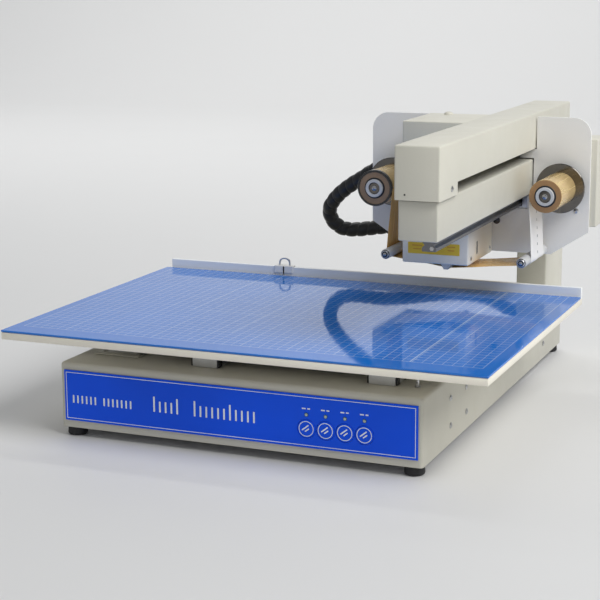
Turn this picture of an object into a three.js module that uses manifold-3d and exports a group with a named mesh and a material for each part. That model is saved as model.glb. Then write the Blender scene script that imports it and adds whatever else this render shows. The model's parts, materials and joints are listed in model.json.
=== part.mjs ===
// A flatbed foil printer: a sliding bed under a cantilever arm that carries a foil-feeding print head.
// Millimetres, +Z up, +Y to the back, +X to the right; the origin is the middle of the footprint,
// on the floor.
import * as THREE from "three";
import { mergeVertices } from "three/addons/utils/BufferGeometryUtils.js";
import { RoundedBoxGeometry } from "three/addons/geometries/RoundedBoxGeometry.js";
import Module from "manifold-3d";

const wasm = await Module();
wasm.setup();

// ---------- driving dimensions ----------
const GAP = 0.3; // clearance between touching pieces

// base housing
const BASE_X = -11; // middle of the base, left of the origin
const BASE_W = 400;
const BASE_FRONT = -269;
const BASE_BACK = 293;
const BASE_WALL = 1.5;
const BASE_EDGE = 4; // edge rounding
const FOOT_H = 10;
const FOOT_R = 10.5;
const FOOT_INSET = 12;
const BASE_TOP = 80;
const BOTTOM_T = 1.5;

// mains inlet and switch in the rear wall: middles, and outside sizes of the moulding behind each
const INLET_X = -150;
const INLET_W = 27;
const INLET_H = 19;
const INLET_PINS = [[-7, -3], [0, -5], [7, -3]];
const SWITCH_X = -115;
const SWITCH_W = 19.4;
const SWITCH_H = 13.4;
const SOCKET_Z = 45;

// inside the base
const SUPPLY = { x: [-190, -80], y: [60, 240], height: 20 };
const BOARD_X = [-60, 120];
const BOARD_Y = [60, 190];
const BOARD_LIFT = 6;
const BOARD_T = 1.6;
const POST_INSET = 8;
const POST_W = 6;

// front panel
const PANEL_X0 = -205.5;
const PANEL_X1 = 184.5;
const PANEL_Z0 = 18;
const PANEL_Z1 = 72.3;
const PANEL_T = 1.2;
const BUTTON_X = 68.8; // first of four
const BUTTON_PITCH = 20.35;
const BUTTON_Z = 37.5;
const BUTTON_R = 9.6;
const LED_Z = 51.8;
const LED_R = 1.8;

// bed
const BED_X0 = -265;
const BED_X1 = 260;
const BED_Y0 = -295;
const BED_Y1 = 90;
const BED_BOTTOM = 105;
const BED_TOP = 115; // working surface
const SHEET_T = 2;
const SHEET_BACK = 82;
const FENCE_FRONT = 84.3;
const FENCE_T = 5;
const FENCE_TOP = 125.3;
const FENCE_INSET = 6; // bare edge of the bed left of the fence
const STOP_X = -106;
const STOP_W = 24;
const STOP_T = 1.5;
const STOP_TOP = 136;
const POINTER_W = 2;

// bed guides: a rail under the bed runs through blocks on the base
const GUIDE_YS = [-220, 20];
const GUIDE_XS = [-57.5, 136];
const RAIL_XS = [-262, 232];
const RAIL_W = 15;
const RAIL_H = 13.7;
const BLOCK_W = 28;
const BLOCK_D = 36;

// belt drives
const PULLEY_R = 8;
const PULLEY_FLANGE_R = 10.2;
const BELT_T = 1.5;
const BELT_W = 6;
const PULLEY_H = 9.6;
const X_DRIVE_Y = -110;
const X_DRIVE_Z = 84;
const X_PULLEY_XS = [-186, 164]; // idler, driver
const X_CLAMP_X = -50;
const CLAMP_W = 20;
const MOTOR_HALF = 21;
const MOTOR_H = 34;
const MOTOR_SHAFT_R = 2.5;

// column and arm
const ARM_X = 170.2;
const COLUMN_W = 37;
const COLUMN_FRONT = 208;
const ARM_WALL = 2.5; // wall of the column and of the beam
const BEAM_W = 40;
const BEAM_BOTTOM = 224.6;
const BEAM_TOP = 264.2;
const BEAM_FRONT = -234;
const COVER_W = 46;
const COVER_FRONT = -238;
const COVER_BOTTOM = 264.5;
const COVER_TOP = 317.4;
const SLOT_FRONT = -180.6; // the slot in the cover's right wall lets the carriage reach the belt
const SLOT_TOP = 277;
const SLOT_BACK = 190;
const ARM_RAIL_FRONT = -198.5;
const ARM_RAIL_BACK = 200;
const ARM_RAIL_H = 15.4;
const Y_DRIVE_Z = 282;
const Y_PULLEY_YS = [-222, 214]; // idler, driver
const ARM_MOTOR_HALF = 17;

// carriage
const HEAD_X = 126; // middle of the carriage plate, between the spools
const PLATE_FRONT = 123;
const PLATE_T = 3;
const PLATE_HALF_W = 131.5;
const PLATE_TOP = 313.3;
const PLATE_BOTTOM = 154.5;
const PLATE_CORNER_R = 20;
const PLATE_CHAMFER_X = 88; // half width left along the bottom edge
const PLATE_CHAMFER_Z = 182.5;
const NOTCH_GAP = 1.6;
const PLATE_BACK = PLATE_FRONT + PLATE_T;
const CARRIAGE_BLOCK_L = 60;
const CARRIAGE_BLOCK_HALF = 17;
const CARRIAGE_BLOCK_ZS = [200, 222];

// foil path
const SPOOL_DX = 99.8;
const SPOOL_Z = 233.6;
const SPOOL_FRONT = 40.6;
const FLANGE_R = 28.5;
const FLANGE_YS = [102, 110]; // left, right
const ROLL_RS = [20.5, 18.5]; // used foil on the left, new foil on the right
const CORE_R = 10.5;
const HUB_R = 6.2;
const SHAFT_R = 4;
const FOIL_Y0 = 44;
const FOIL_Y1 = 100;
const FOIL_T = 0.6;
const GUIDE_DX = 79.5;
const GUIDE_Z = 161;
const GUIDE_R = 5.7;
const GUIDE_FRONT = 22;
const TIP_X = 117; // the heated edge, left of the plate's middle
const TIP_Z = 147;

// print head and its press
const HEAD_MID = 105; // middle of the print head, under the press housing
const HEAD_W = 78;
const HEAD_FRONT = 25;
const HEAD_BOTTOM = 153;
const HEAD_TOP = 206;
const HEAD_WALL = 2;
const HEAD_SLOT = { y: [58, 64], z: [161, 176] }; // vent in the right side
const TIP_Y0 = 28;
const TIP_Y1 = 112;
const PRESS_X0 = 66;
const PRESS_X1 = 144.5;
const PRESS_FRONT = 23;
const PRESS_BOTTOM = 236;
const PRESS_TOP = 314;
const PRESS_WALL = 1.5;
const ACTUATOR_HALF_W = 12;
const ACTUATOR_HALF_D = 18;
const ACTUATOR_ZS = [275, 305];
const ROD_DX = 17;
const ROD_Y = 70;
const ROD_R = 4;
const ROD_TOP = 300;
const SPINDLE_R = 4.5;

// rear housings of the carriage, over the spool motors
const REAR_Z0 = 188.4;
const REAR_Z1 = 289.5;
const REAR_D = 48;
const REAR_XS = [[5, 140], [199, 265]];
const REAR_WALL = 1.5;
const SPOOL_MOTOR_R = 14;
const SPOOL_MOTOR_L = 32;

const HOSE_R = 9.2;

// ---------- materials ----------
function paint(color, roughness, metalness) {
  return new THREE.MeshStandardMaterial({ color, roughness, metalness });
}
const CREAM = [0xcfcdbf, 0.45, 0.1];
const PALE = [0xb9c0cc, 0.4, 0.2];
const STEEL = [0x8b8d90, 0.35, 0.9];
const DARK_STEEL = [0x3b3c40, 0.35, 0.8];
const ALUMINIUM = [0xa6a7a6, 0.4, 0.8];
const BLACK = [0x121214, 0.35, 0.1];
const RUBBER = [0x16161a, 0.8, 0];
const BLUE = [0x0f4fbf, 0.3, 0];
const SHEET_BLUE = [0x3f86d8, 0.15, 0];
const WHITE = [0xe4e4e2, 0.5, 0];
const GOLD = [0xc79a4f, 0.25, 0.9];
const BOARD = [0x1f6b3a, 0.6, 0];

// ---------- shapes ----------
function solid(geometry) {
  const loose = geometry.index ? geometry.toNonIndexed() : geometry;
  const bare = new THREE.BufferGeometry().setAttribute("position", loose.getAttribute("position"));
  const merged = mergeVertices(bare, 1e-4);
  return new wasm.Manifold(
    new wasm.Mesh({
      numProp: 3,
      vertProperties: merged.attributes.position.array,
      triVerts: new Uint32Array(merged.index.array),
    }),
  );
}

// A box between two corners.
function box(x0, x1, y0, y1, z0, z1) {
  const g = new THREE.BoxGeometry(x1 - x0, y1 - y0, z1 - z0);
  return solid(g.translate((x0 + x1) / 2, (y0 + y1) / 2, (z0 + z1) / 2));
}

// A box with every edge rounded.
function softBox(x0, x1, y0, y1, z0, z1, radius, steps = 2) {
  const g = new RoundedBoxGeometry(x1 - x0, y1 - y0, z1 - z0, steps, radius);
  return solid(g.translate((x0 + x1) / 2, (y0 + y1) / 2, (z0 + z1) / 2));
}

// A slab wider than the machine, for cutting away all that lies between two heights.
const FAR = 450;
function slab(z0, z1) {
  return box(-FAR, FAR, -FAR, FAR, z0, z1);
}

// A cylinder from one place to another along an axis; (a, b) are its other two coordinates, in x, y, z
// order.
function rod(axis, radius, from, to, a, b, sides = 24) {
  const g = new THREE.CylinderGeometry(radius, radius, to - from, sides);
  const middle = (from + to) / 2;
  if (axis === "x") return solid(g.rotateZ(Math.PI / 2).translate(middle, a, b));
  if (axis === "y") return solid(g.translate(a, middle, b));
  return solid(g.rotateX(Math.PI / 2).translate(a, b, middle));
}

// An outline turned round the Y axis; points are [radius, y], anticlockwise.
function turned(points, sides = 32) {
  const profile = points.map(([r, y]) => new THREE.Vector2(r, y));
  return new THREE.LatheGeometry(profile, sides);
}

// A turned tube: a closed ring of rectangular section.
function ring(inner, outer, y0, y1, sides = 32) {
  return turned([[inner, y0], [outer, y0], [outer, y1], [inner, y1], [inner, y0]], sides);
}

function outline(points) {
  return new THREE.Shape(points.map(([a, b]) => new THREE.Vector2(a, b)));
}

// An outline in X and Z, given thickness from y0 to y1.
function wall(shape, y0, y1, curveSegments = 8) {
  const g = new THREE.ExtrudeGeometry(shape, { depth: y1 - y0, bevelEnabled: false, curveSegments });
  return g.rotateX(Math.PI / 2).translate(0, y1, 0);
}

// An outline in Y and Z, given length from x0 to x1.
function bar(shape, x0, x1) {
  const g = new THREE.ExtrudeGeometry(shape, { depth: x1 - x0, bevelEnabled: false });
  return g.rotateX(Math.PI / 2).rotateZ(Math.PI / 2).translate(x0, 0, 0);
}

function join(first, ...others) {
  return others.reduce((a, b) => a.add(b), first);
}

function cut(first, ...others) {
  return others.reduce((a, b) => a.subtract(b), first);
}

// Puts a named mesh of a solid or a geometry into a group.
function place(group, name, shape, look, position = [0, 0, 0]) {
  let geometry = shape;
  if (!shape.isBufferGeometry) {
    const made = shape.getMesh();
    geometry = new THREE.BufferGeometry();
    geometry.setAttribute("position", new THREE.BufferAttribute(made.vertProperties, 3));
    geometry.setIndex(new THREE.BufferAttribute(made.triVerts, 1));
    geometry.computeVertexNormals();
  }
  const mesh = new THREE.Mesh(geometry, paint(...look));
  mesh.name = name;
  mesh.position.set(...position);
  group.add(mesh);
}

const machine = new THREE.Group();

// A shouldered pin for an idler pulley, standing on a face at height z.
const PIN_R = 2.5;
const SHOULDER_R = 7;
function idlerPin(z, x, y, pulleyZ) {
  return [
    rod("z", PIN_R, z - 1, pulleyZ + PULLEY_H + 1, x, y, 16),
    rod("z", SHOULDER_R, z - 1, pulleyZ - GAP, x, y, 16),
  ];
}

// ---------- base ----------
const BASE_X0 = BASE_X - BASE_W / 2;
const BASE_X1 = BASE_X + BASE_W / 2;
const BUTTON_XS = [0, 1, 2, 3].map((i) => BUTTON_X + i * BUTTON_PITCH);
const BUTTON_HOLE_R = BUTTON_R + GAP;
const LED_HOLE_R = LED_R + GAP;

// The holes that the buttons and lamps come through, from y0 to y1.
function frontHoles(y0, y1) {
  return BUTTON_XS.flatMap((x) => [
    rod("y", BUTTON_HOLE_R, y0, y1, x, BUTTON_Z),
    rod("y", LED_HOLE_R, y0, y1, x, LED_Z, 12),
  ]);
}

// A box about a middle at x on the rear wall, w wide and h tall.
function rearBox(x, w, h, y0, y1, z = SOCKET_Z) {
  return box(x - w / 2, x + w / 2, y0, y1, z - h / 2, z + h / 2);
}

function baseShell() {
  const outer = softBox(
    BASE_X0, BASE_X1, BASE_FRONT, BASE_BACK, FOOT_H - 2 * BASE_EDGE, BASE_TOP, BASE_EDGE,
  );
  const inside = box(
    BASE_X0 + BASE_WALL, BASE_X1 - BASE_WALL, BASE_FRONT + BASE_WALL, BASE_BACK - BASE_WALL,
    0, BASE_TOP - BASE_WALL,
  );
  const back0 = BASE_BACK - 2 * BASE_WALL;
  const back1 = BASE_BACK + 1;
  const shell = cut(
    outer,
    slab(-2 * BASE_EDGE, FOOT_H),
    inside,
    ...frontHoles(BASE_FRONT - 1, BASE_FRONT + 2 * BASE_WALL),
    rod("z", MOTOR_SHAFT_R + 1.5, BASE_TOP - 3, BASE_TOP + 1, X_PULLEY_XS[1], X_DRIVE_Y, 16),
    rearBox(INLET_X, INLET_W + 1, INLET_H + 1, back0, back1),
    rearBox(SWITCH_X, SWITCH_W + 2 * GAP, SWITCH_H + 2 * GAP, back0, back1),
  );
  return join(shell, ...idlerPin(BASE_TOP, X_PULLEY_XS[0], X_DRIVE_Y, X_DRIVE_Z));
}
place(machine, "base_shell", baseShell(), CREAM);

const INNER_X0 = BASE_X0 + BASE_WALL + GAP;
const INNER_X1 = BASE_X1 - BASE_WALL - GAP;
const INNER_Y0 = BASE_FRONT + BASE_WALL + GAP;
const INNER_Y1 = BASE_BACK - BASE_WALL - GAP;
place(
  machine, "base_bottom_plate",
  box(INNER_X0, INNER_X1, INNER_Y0, INNER_Y1, FOOT_H, FOOT_H + BOTTOM_T), STEEL,
);

const footShape = turned([
  [0, 0], [FOOT_R - 2, 0], [FOOT_R, 2], [FOOT_R - 1, FOOT_H - GAP], [0, FOOT_H - GAP],
]).rotateX(Math.PI / 2);
for (const [side, x] of [["left", BASE_X0 + FOOT_INSET], ["right", BASE_X1 - FOOT_INSET]])
  for (const [end, y] of [["front", BASE_FRONT + FOOT_INSET], ["rear", BASE_BACK - FOOT_INSET]])
    place(machine, `foot_${end}_${side}`, footShape, RUBBER, [x, y, 0]);

// front panel, its buttons and the board behind them
const PANEL_Y1 = BASE_FRONT - GAP;
const PANEL_Y0 = PANEL_Y1 - PANEL_T;
place(
  machine, "front_panel",
  cut(
    box(PANEL_X0, PANEL_X1, PANEL_Y0, PANEL_Y1, PANEL_Z0, PANEL_Z1),
    ...frontHoles(PANEL_Y0 - 1, BASE_FRONT),
  ),
  BLUE,
);
const BUTTON_PROUD = 0.6;
const buttonShape = turned([
  [0, PANEL_Y0 - BUTTON_PROUD], [BUTTON_R - BUTTON_PROUD, PANEL_Y0 - BUTTON_PROUD], [BUTTON_R, PANEL_Y0],
  [BUTTON_R, BASE_FRONT + 1], [0, BASE_FRONT + 1],
]);
["cancel", "test", "line_feed", "start"].forEach((name, i) =>
  place(machine, `button_${name}`, buttonShape, BLUE, [BUTTON_XS[i], 0, BUTTON_Z]),
);
const BUTTON_BOARD_Y = BASE_FRONT + 3;
const BUTTON_BOARD_EDGE = 16;
const BUTTON_BOARD_ZS = [22, 62];
place(
  machine, "button_board",
  join(
    box(
      BUTTON_XS[0] - BUTTON_BOARD_EDGE, BUTTON_XS[3] + BUTTON_BOARD_EDGE,
      BUTTON_BOARD_Y, BUTTON_BOARD_Y + BOARD_T, ...BUTTON_BOARD_ZS,
    ),
    ...BUTTON_XS.map((x) => rod("y", LED_R, PANEL_Y0 - 0.4, BUTTON_BOARD_Y + 0.5, x, LED_Z, 12)),
  ),
  BOARD,
);

// power supply and control board on the bottom plate
const FLOOR_Z = FOOT_H + BOTTOM_T + GAP;
place(
  machine, "power_supply",
  softBox(...SUPPLY.x, ...SUPPLY.y, FLOOR_Z, FLOOR_Z + SUPPLY.height, 2, 1), ALUMINIUM,
);

// The board stands on a post near each corner, with a chip and a heat sink on top.
function controlBoard() {
  const top = FLOOR_Z + BOARD_LIFT + BOARD_T;
  const nearFar = ([a, b]) => [
    [a + POST_INSET, a + POST_INSET + POST_W],
    [b - POST_INSET - POST_W, b - POST_INSET],
  ];
  const posts = nearFar(BOARD_X).flatMap((x) =>
    nearFar(BOARD_Y).map((y) => box(...x, ...y, FLOOR_Z, FLOOR_Z + BOARD_LIFT + 1)),
  );
  const chip = box(0, 40, 100, 140, top - 1, top + 6);
  const sink = box(60, 80, 90, 160, top - 1, top + 12);
  return join(box(...BOARD_X, ...BOARD_Y, FLOOR_Z + BOARD_LIFT, top), ...posts, chip, sink);
}
place(machine, "control_board", controlBoard(), BOARD);

// One moulding holds the mains inlet with its three pins and the switch's frame.
function powerEntry() {
  const back = BASE_BACK;
  const flange = box(INLET_X - 20, SWITCH_X + 15, back + GAP, back + 2, SOCKET_Z - 13, SOCKET_Z + 13);
  const inlet = rearBox(INLET_X, INLET_W, INLET_H, back - 20, back + 1);
  const frame = rearBox(SWITCH_X, SWITCH_W, SWITCH_H, back - 14, back + 1);
  const inletHollow = rearBox(INLET_X, INLET_W - 4, INLET_H - 4, back - 14, back + 3);
  const frameHollow = rearBox(SWITCH_X, SWITCH_W - 2.4, SWITCH_H - 2.4, back - 12, back + 3);
  const pins = INLET_PINS.map(([dx, dz]) => rearBox(INLET_X + dx, 4, 2, back - 15, back - 1, SOCKET_Z + dz));
  return join(cut(join(flange, inlet, frame), inletHollow, frameHollow), ...pins);
}
place(machine, "power_entry", powerEntry(), BLACK);

// The rocker leans seven degrees to its off side and swings through to the other.
const ROCKER_TILT = THREE.MathUtils.degToRad(7);
const rocker = new THREE.Group();
rocker.position.set(SWITCH_X, BASE_BACK - 6, SOCKET_Z);
rocker.rotation.z = -ROCKER_TILT;
machine.add(rocker);
place(
  rocker, "power_rocker",
  wallPlan([[-7.6, 5.2], [-7.6, 2], [0, -3], [7.6, 2], [7.6, 5.2], [0, 6.2]], -5, 5), RUBBER,
);

// An outline in X and Y, given height from z0 to z1.
function wallPlan(points, z0, z1) {
  const g = new THREE.ExtrudeGeometry(outline(points), { depth: z1 - z0, bevelEnabled: false });
  return g.translate(0, 0, z0);
}

// ---------- bed guides and bed ----------
// The section of a guide rail, with a groove down each side; it hangs down from its fixed face at z 0.
const GROOVE = 1.6;
function railSection(width, height) {
  const w = width / 2;
  const [above, middle, below] = [0.4, 0.56, 0.72].map((share) => -height * share);
  return outline([
    [-w, -height], [w, -height], [w, below], [w - GROOVE, middle], [w, above],
    [w, 0], [-w, 0], [-w, above], [-w + GROOVE, middle], [-w, below],
  ]);
}

const RAIL_TOP = BED_BOTTOM - GAP;
const RAIL_BOTTOM = RAIL_TOP - RAIL_H;
const BLOCK_TOP = 97;
const blockShape = cut(
  box(-BLOCK_W / 2, BLOCK_W / 2, -BLOCK_D / 2, BLOCK_D / 2, BASE_TOP + GAP, BLOCK_TOP),
  box(-BLOCK_W, BLOCK_W, -RAIL_W / 2 - GAP, RAIL_W / 2 + GAP, RAIL_BOTTOM - GAP, BLOCK_TOP + 1),
);
for (const [end, y] of [["front", GUIDE_YS[0]], ["rear", GUIDE_YS[1]]]) {
  for (const [side, x] of [["left", GUIDE_XS[0]], ["right", GUIDE_XS[1]]])
    place(machine, `guide_block_${end}_${side}`, blockShape, ALUMINIUM, [x, y, 0]);
  place(
    machine, `bed_rail_${end}`,
    bar(railSection(RAIL_W, RAIL_H), ...RAIL_XS), DARK_STEEL, [0, y, RAIL_TOP],
  );
}

const SHEET_BOTTOM = BED_TOP - SHEET_T;
const BED_PLATE_TOP = SHEET_BOTTOM - GAP;
place(
  machine, "bed_plate",
  softBox(BED_X0, BED_X1, BED_Y0, BED_Y1, BED_BOTTOM, BED_PLATE_TOP, 1, 1), CREAM,
);
place(machine, "bed_sheet", box(BED_X0, BED_X1, BED_Y0, SHEET_BACK, SHEET_BOTTOM, BED_TOP), SHEET_BLUE);
const FENCE_BACK = FENCE_FRONT + FENCE_T;
place(
  machine, "rear_fence",
  box(BED_X0 + FENCE_INSET, BED_X1, FENCE_FRONT, FENCE_BACK, SHEET_BOTTOM, FENCE_TOP), CREAM,
);

// A saddle over the fence with a raised grip and a pointer down its front, clear of the sheet.
function fenceStop() {
  const front = FENCE_FRONT - GAP;
  const back = FENCE_BACK + GAP;
  const top = FENCE_TOP + GAP;
  const saddle = box(-STOP_W / 2, STOP_W / 2, front - STOP_T, back + STOP_T, BED_TOP + 3, top + STOP_T);
  const grip = box(-STOP_W / 4, STOP_W / 4, front - GAP, back + GAP, top, STOP_TOP);
  const pointer = box(
    -POINTER_W / 2, POINTER_W / 2, front - STOP_T - GAP, front - GAP, BED_TOP + 1, top + STOP_T,
  );
  return cut(join(saddle, grip, pointer), box(-STOP_W, STOP_W, front, back, BED_TOP, top));
}
place(machine, "fence_stop", fenceStop(), STEEL, [STOP_X, 0, 0]);

// ---------- belt drives ----------
// A flanged pulley standing on its axis, with the belt's track in the middle of its height.
function pulley(boreR) {
  const edge = (PULLEY_H - BELT_W) / 2 - GAP;
  return turned([
    [boreR, 0], [PULLEY_FLANGE_R, 0], [PULLEY_FLANGE_R, edge], [PULLEY_R, edge],
    [PULLEY_R, PULLEY_H - edge], [PULLEY_FLANGE_R, PULLEY_H - edge], [PULLEY_FLANGE_R, PULLEY_H],
    [boreR, PULLEY_H], [boreR, 0],
  ], 24).rotateX(Math.PI / 2);
}

// A closed belt in plan round two pulleys at 0 and at (length, 0).
function beltLoop(length, radius) {
  const loop = new THREE.Path();
  loop.absarc(0, 0, radius, Math.PI / 2, -Math.PI / 2, false);
  loop.absarc(length, 0, radius, -Math.PI / 2, Math.PI / 2, false);
  loop.closePath();
  return loop;
}
function belt(length) {
  const shape = new THREE.Shape(beltLoop(length, PULLEY_R + GAP + BELT_T).getPoints(10));
  shape.holes.push(new THREE.Path(beltLoop(length, PULLEY_R + GAP).getPoints(10)));
  return new THREE.ExtrudeGeometry(shape, { depth: BELT_W, bevelEnabled: false });
}

const BELT_LIFT = (PULLEY_H - BELT_W) / 2;
const BELT_MID = PULLEY_R + GAP + BELT_T / 2; // distance of a run's middle from the pulley's axis
const pulleyShape = pulley(PIN_R + GAP);
["idler", "drive"].forEach((role, i) =>
  place(machine, `bed_${role}_pulley`, pulleyShape, ALUMINIUM, [X_PULLEY_XS[i], X_DRIVE_Y, X_DRIVE_Z]),
);
place(
  machine, "bed_belt", belt(X_PULLEY_XS[1] - X_PULLEY_XS[0]), RUBBER,
  [X_PULLEY_XS[0], X_DRIVE_Y, X_DRIVE_Z + BELT_LIFT],
);
const MOTOR_TOP = BASE_TOP - BASE_WALL - GAP;
place(
  machine, "bed_motor",
  join(
    softBox(
      X_PULLEY_XS[1] - MOTOR_HALF, X_PULLEY_XS[1] + MOTOR_HALF,
      X_DRIVE_Y - MOTOR_HALF, X_DRIVE_Y + MOTOR_HALF, MOTOR_TOP - MOTOR_H, MOTOR_TOP, 3, 1,
    ),
    rod("z", MOTOR_SHAFT_R, MOTOR_TOP - 1, X_DRIVE_Z + PULLEY_H + 1, X_PULLEY_XS[1], X_DRIVE_Y, 16),
  ),
  DARK_STEEL,
);
const X_RUN_Y = X_DRIVE_Y - BELT_MID;
const BELT_HALF = BELT_T / 2 + GAP;
place(
  machine, "bed_belt_clamp",
  cut(
    box(
      X_CLAMP_X - CLAMP_W / 2, X_CLAMP_X + CLAMP_W / 2, X_RUN_Y - 4, X_RUN_Y + 4,
      X_DRIVE_Z, BED_BOTTOM - GAP,
    ),
    box(
      X_CLAMP_X - CLAMP_W, X_CLAMP_X + CLAMP_W, X_RUN_Y - BELT_HALF, X_RUN_Y + BELT_HALF,
      X_DRIVE_Z - 1, X_DRIVE_Z + BELT_LIFT + BELT_W + GAP,
    ),
  ),
  ALUMINIUM,
);

// ---------- column and arm ----------
place(
  machine, "column",
  cut(
    softBox(
      ARM_X - COLUMN_W / 2, ARM_X + COLUMN_W / 2, COLUMN_FRONT, BASE_BACK, BASE_TOP - 4, BEAM_BOTTOM + 4, 2,
    ),
    slab(0, BASE_TOP + GAP),
    slab(BEAM_BOTTOM - GAP, COVER_TOP),
    box(
      ARM_X - COLUMN_W / 2 + ARM_WALL, ARM_X + COLUMN_W / 2 - ARM_WALL,
      COLUMN_FRONT + ARM_WALL, BASE_BACK - ARM_WALL, 0, COVER_TOP,
    ),
  ),
  CREAM,
);
function armBeam() {
  const tube = cut(
    softBox(ARM_X - BEAM_W / 2, ARM_X + BEAM_W / 2, BEAM_FRONT, BASE_BACK, BEAM_BOTTOM, BEAM_TOP, 1.5),
    box(
      ARM_X - BEAM_W / 2 + ARM_WALL, ARM_X + BEAM_W / 2 - ARM_WALL, BEAM_FRONT + ARM_WALL, BASE_BACK + 1,
      BEAM_BOTTOM + ARM_WALL, BEAM_TOP - ARM_WALL,
    ),
  );
  return join(tube, ...idlerPin(BEAM_TOP, ARM_X, Y_PULLEY_YS[0], Y_DRIVE_Z));
}
place(machine, "arm_beam", armBeam(), CREAM);
const COVER_WALL = 1.5;
const COVER_X0 = ARM_X - COVER_W / 2;
const COVER_X1 = ARM_X + COVER_W / 2;
place(
  machine, "arm_cover",
  cut(
    softBox(COVER_X0, COVER_X1, COVER_FRONT, BASE_BACK, COVER_BOTTOM - 4, COVER_TOP, 2),
    slab(BEAM_BOTTOM, COVER_BOTTOM),
    box(
      COVER_X0 + COVER_WALL, COVER_X1 - COVER_WALL, COVER_FRONT + COVER_WALL, BASE_BACK - COVER_WALL,
      BEAM_BOTTOM, COVER_TOP - COVER_WALL,
    ),
    box(COVER_X1 - 2 * COVER_WALL, COVER_X1 + 1, SLOT_FRONT, SLOT_BACK, BEAM_BOTTOM, SLOT_TOP),
  ),
  CREAM,
);
place(
  machine, "arm_rail",
  wall(railSection(RAIL_W, ARM_RAIL_H), ARM_RAIL_FRONT, ARM_RAIL_BACK), DARK_STEEL,
  [ARM_X, 0, BEAM_BOTTOM - GAP],
);

["idler", "drive"].forEach((role, i) =>
  place(machine, `arm_${role}_pulley`, pulleyShape, ALUMINIUM, [ARM_X, Y_PULLEY_YS[i], Y_DRIVE_Z]),
);
const armBelt = belt(Y_PULLEY_YS[1] - Y_PULLEY_YS[0]).rotateZ(Math.PI / 2);
place(machine, "arm_belt", armBelt, RUBBER, [ARM_X, Y_PULLEY_YS[0], Y_DRIVE_Z + BELT_LIFT]);
// The motor stands on the beam, with a gear case in front of it that turns the belt's driver.
const ARM_MOTOR_Y = Y_PULLEY_YS[1] + 31;
place(
  machine, "arm_motor",
  join(
    softBox(
      ARM_X - ARM_MOTOR_HALF, ARM_X + ARM_MOTOR_HALF,
      ARM_MOTOR_Y - ARM_MOTOR_HALF, ARM_MOTOR_Y + ARM_MOTOR_HALF, BEAM_TOP + GAP, COVER_TOP - 6, 2, 1,
    ),
    box(
      ARM_X - 12, ARM_X + 12, Y_PULLEY_YS[1] - 8, ARM_MOTOR_Y - ARM_MOTOR_HALF + 2,
      BEAM_TOP + GAP, Y_DRIVE_Z - 4,
    ),
    rod("z", MOTOR_SHAFT_R, BEAM_TOP + 2, Y_DRIVE_Z + PULLEY_H + 1, ARM_X, Y_PULLEY_YS[1], 16),
  ),
  DARK_STEEL,
);

// ---------- carriage ----------
const carriage = new THREE.Group();
machine.add(carriage);

// The plate's outline, the same either side of the middle of the two spools.
function platePlan() {
  const s = new THREE.Shape();
  const left = HEAD_X - PLATE_HALF_W;
  const right = HEAD_X + PLATE_HALF_W;
  s.moveTo(HEAD_X - PLATE_CHAMFER_X, PLATE_BOTTOM);
  s.lineTo(HEAD_X + PLATE_CHAMFER_X, PLATE_BOTTOM);
  s.lineTo(right, PLATE_CHAMFER_Z);
  s.lineTo(right, PLATE_TOP - PLATE_CORNER_R);
  s.absarc(right - PLATE_CORNER_R, PLATE_TOP - PLATE_CORNER_R, PLATE_CORNER_R, 0, Math.PI / 2, false);
  s.lineTo(left + PLATE_CORNER_R, PLATE_TOP);
  s.absarc(left + PLATE_CORNER_R, PLATE_TOP - PLATE_CORNER_R, PLATE_CORNER_R, Math.PI / 2, Math.PI, false);
  s.lineTo(left, PLATE_CHAMFER_Z);
  return s;
}
const SPOOL_XS = [HEAD_X - SPOOL_DX, HEAD_X + SPOOL_DX];
const ROLLER_XS = [HEAD_X - GUIDE_DX, HEAD_X + GUIDE_DX];
const BLOCK_Y0 = PLATE_BACK + GAP;
const Y_RUN_X = ARM_X + BELT_MID;
// The plate clears the arm all round, and its tongue reaches through the slot to grip the belt's right run.
function carriagePlate() {
  const y0 = PLATE_FRONT - 1;
  const y1 = PLATE_BACK + 1;
  const beamX0 = ARM_X - BEAM_W / 2 - NOTCH_GAP;
  const beamX1 = ARM_X + BEAM_W / 2 + NOTCH_GAP;
  const plate = cut(
    solid(wall(platePlan(), PLATE_FRONT, PLATE_BACK)),
    box(COVER_X0 - NOTCH_GAP, COVER_X1 + NOTCH_GAP, y0, y1, SLOT_TOP - 1, PLATE_TOP + 1),
    box(COVER_X0 - NOTCH_GAP, Y_RUN_X - 4, y0, y1, BEAM_TOP - 1, SLOT_TOP),
    box(beamX0, beamX1, y0, y1, BEAM_BOTTOM - 4, COVER_BOTTOM + 1.2),
    box(ARM_X - RAIL_W, ARM_X + RAIL_W, y0, y1, BEAM_BOTTOM - ARM_RAIL_H - 3, BEAM_BOTTOM - 3),
    ...SPOOL_XS.map((x) => rod("y", SHAFT_R + 1, y0, y1, x, SPOOL_Z, 16)),
  );
  const grip = cut(
    box(Y_RUN_X - 4, Y_RUN_X + 4, PLATE_FRONT, PLATE_BACK + 20, BEAM_TOP + 2, Y_DRIVE_Z + PULLEY_H),
    box(
      Y_RUN_X - BELT_HALF, Y_RUN_X + BELT_HALF, y0, y1 + 21,
      Y_DRIVE_Z + BELT_LIFT - GAP, Y_DRIVE_Z + PULLEY_H + 1,
    ),
  );
  return join(plate, grip);
}
place(carriage, "carriage_plate", carriagePlate(), PALE);

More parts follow.
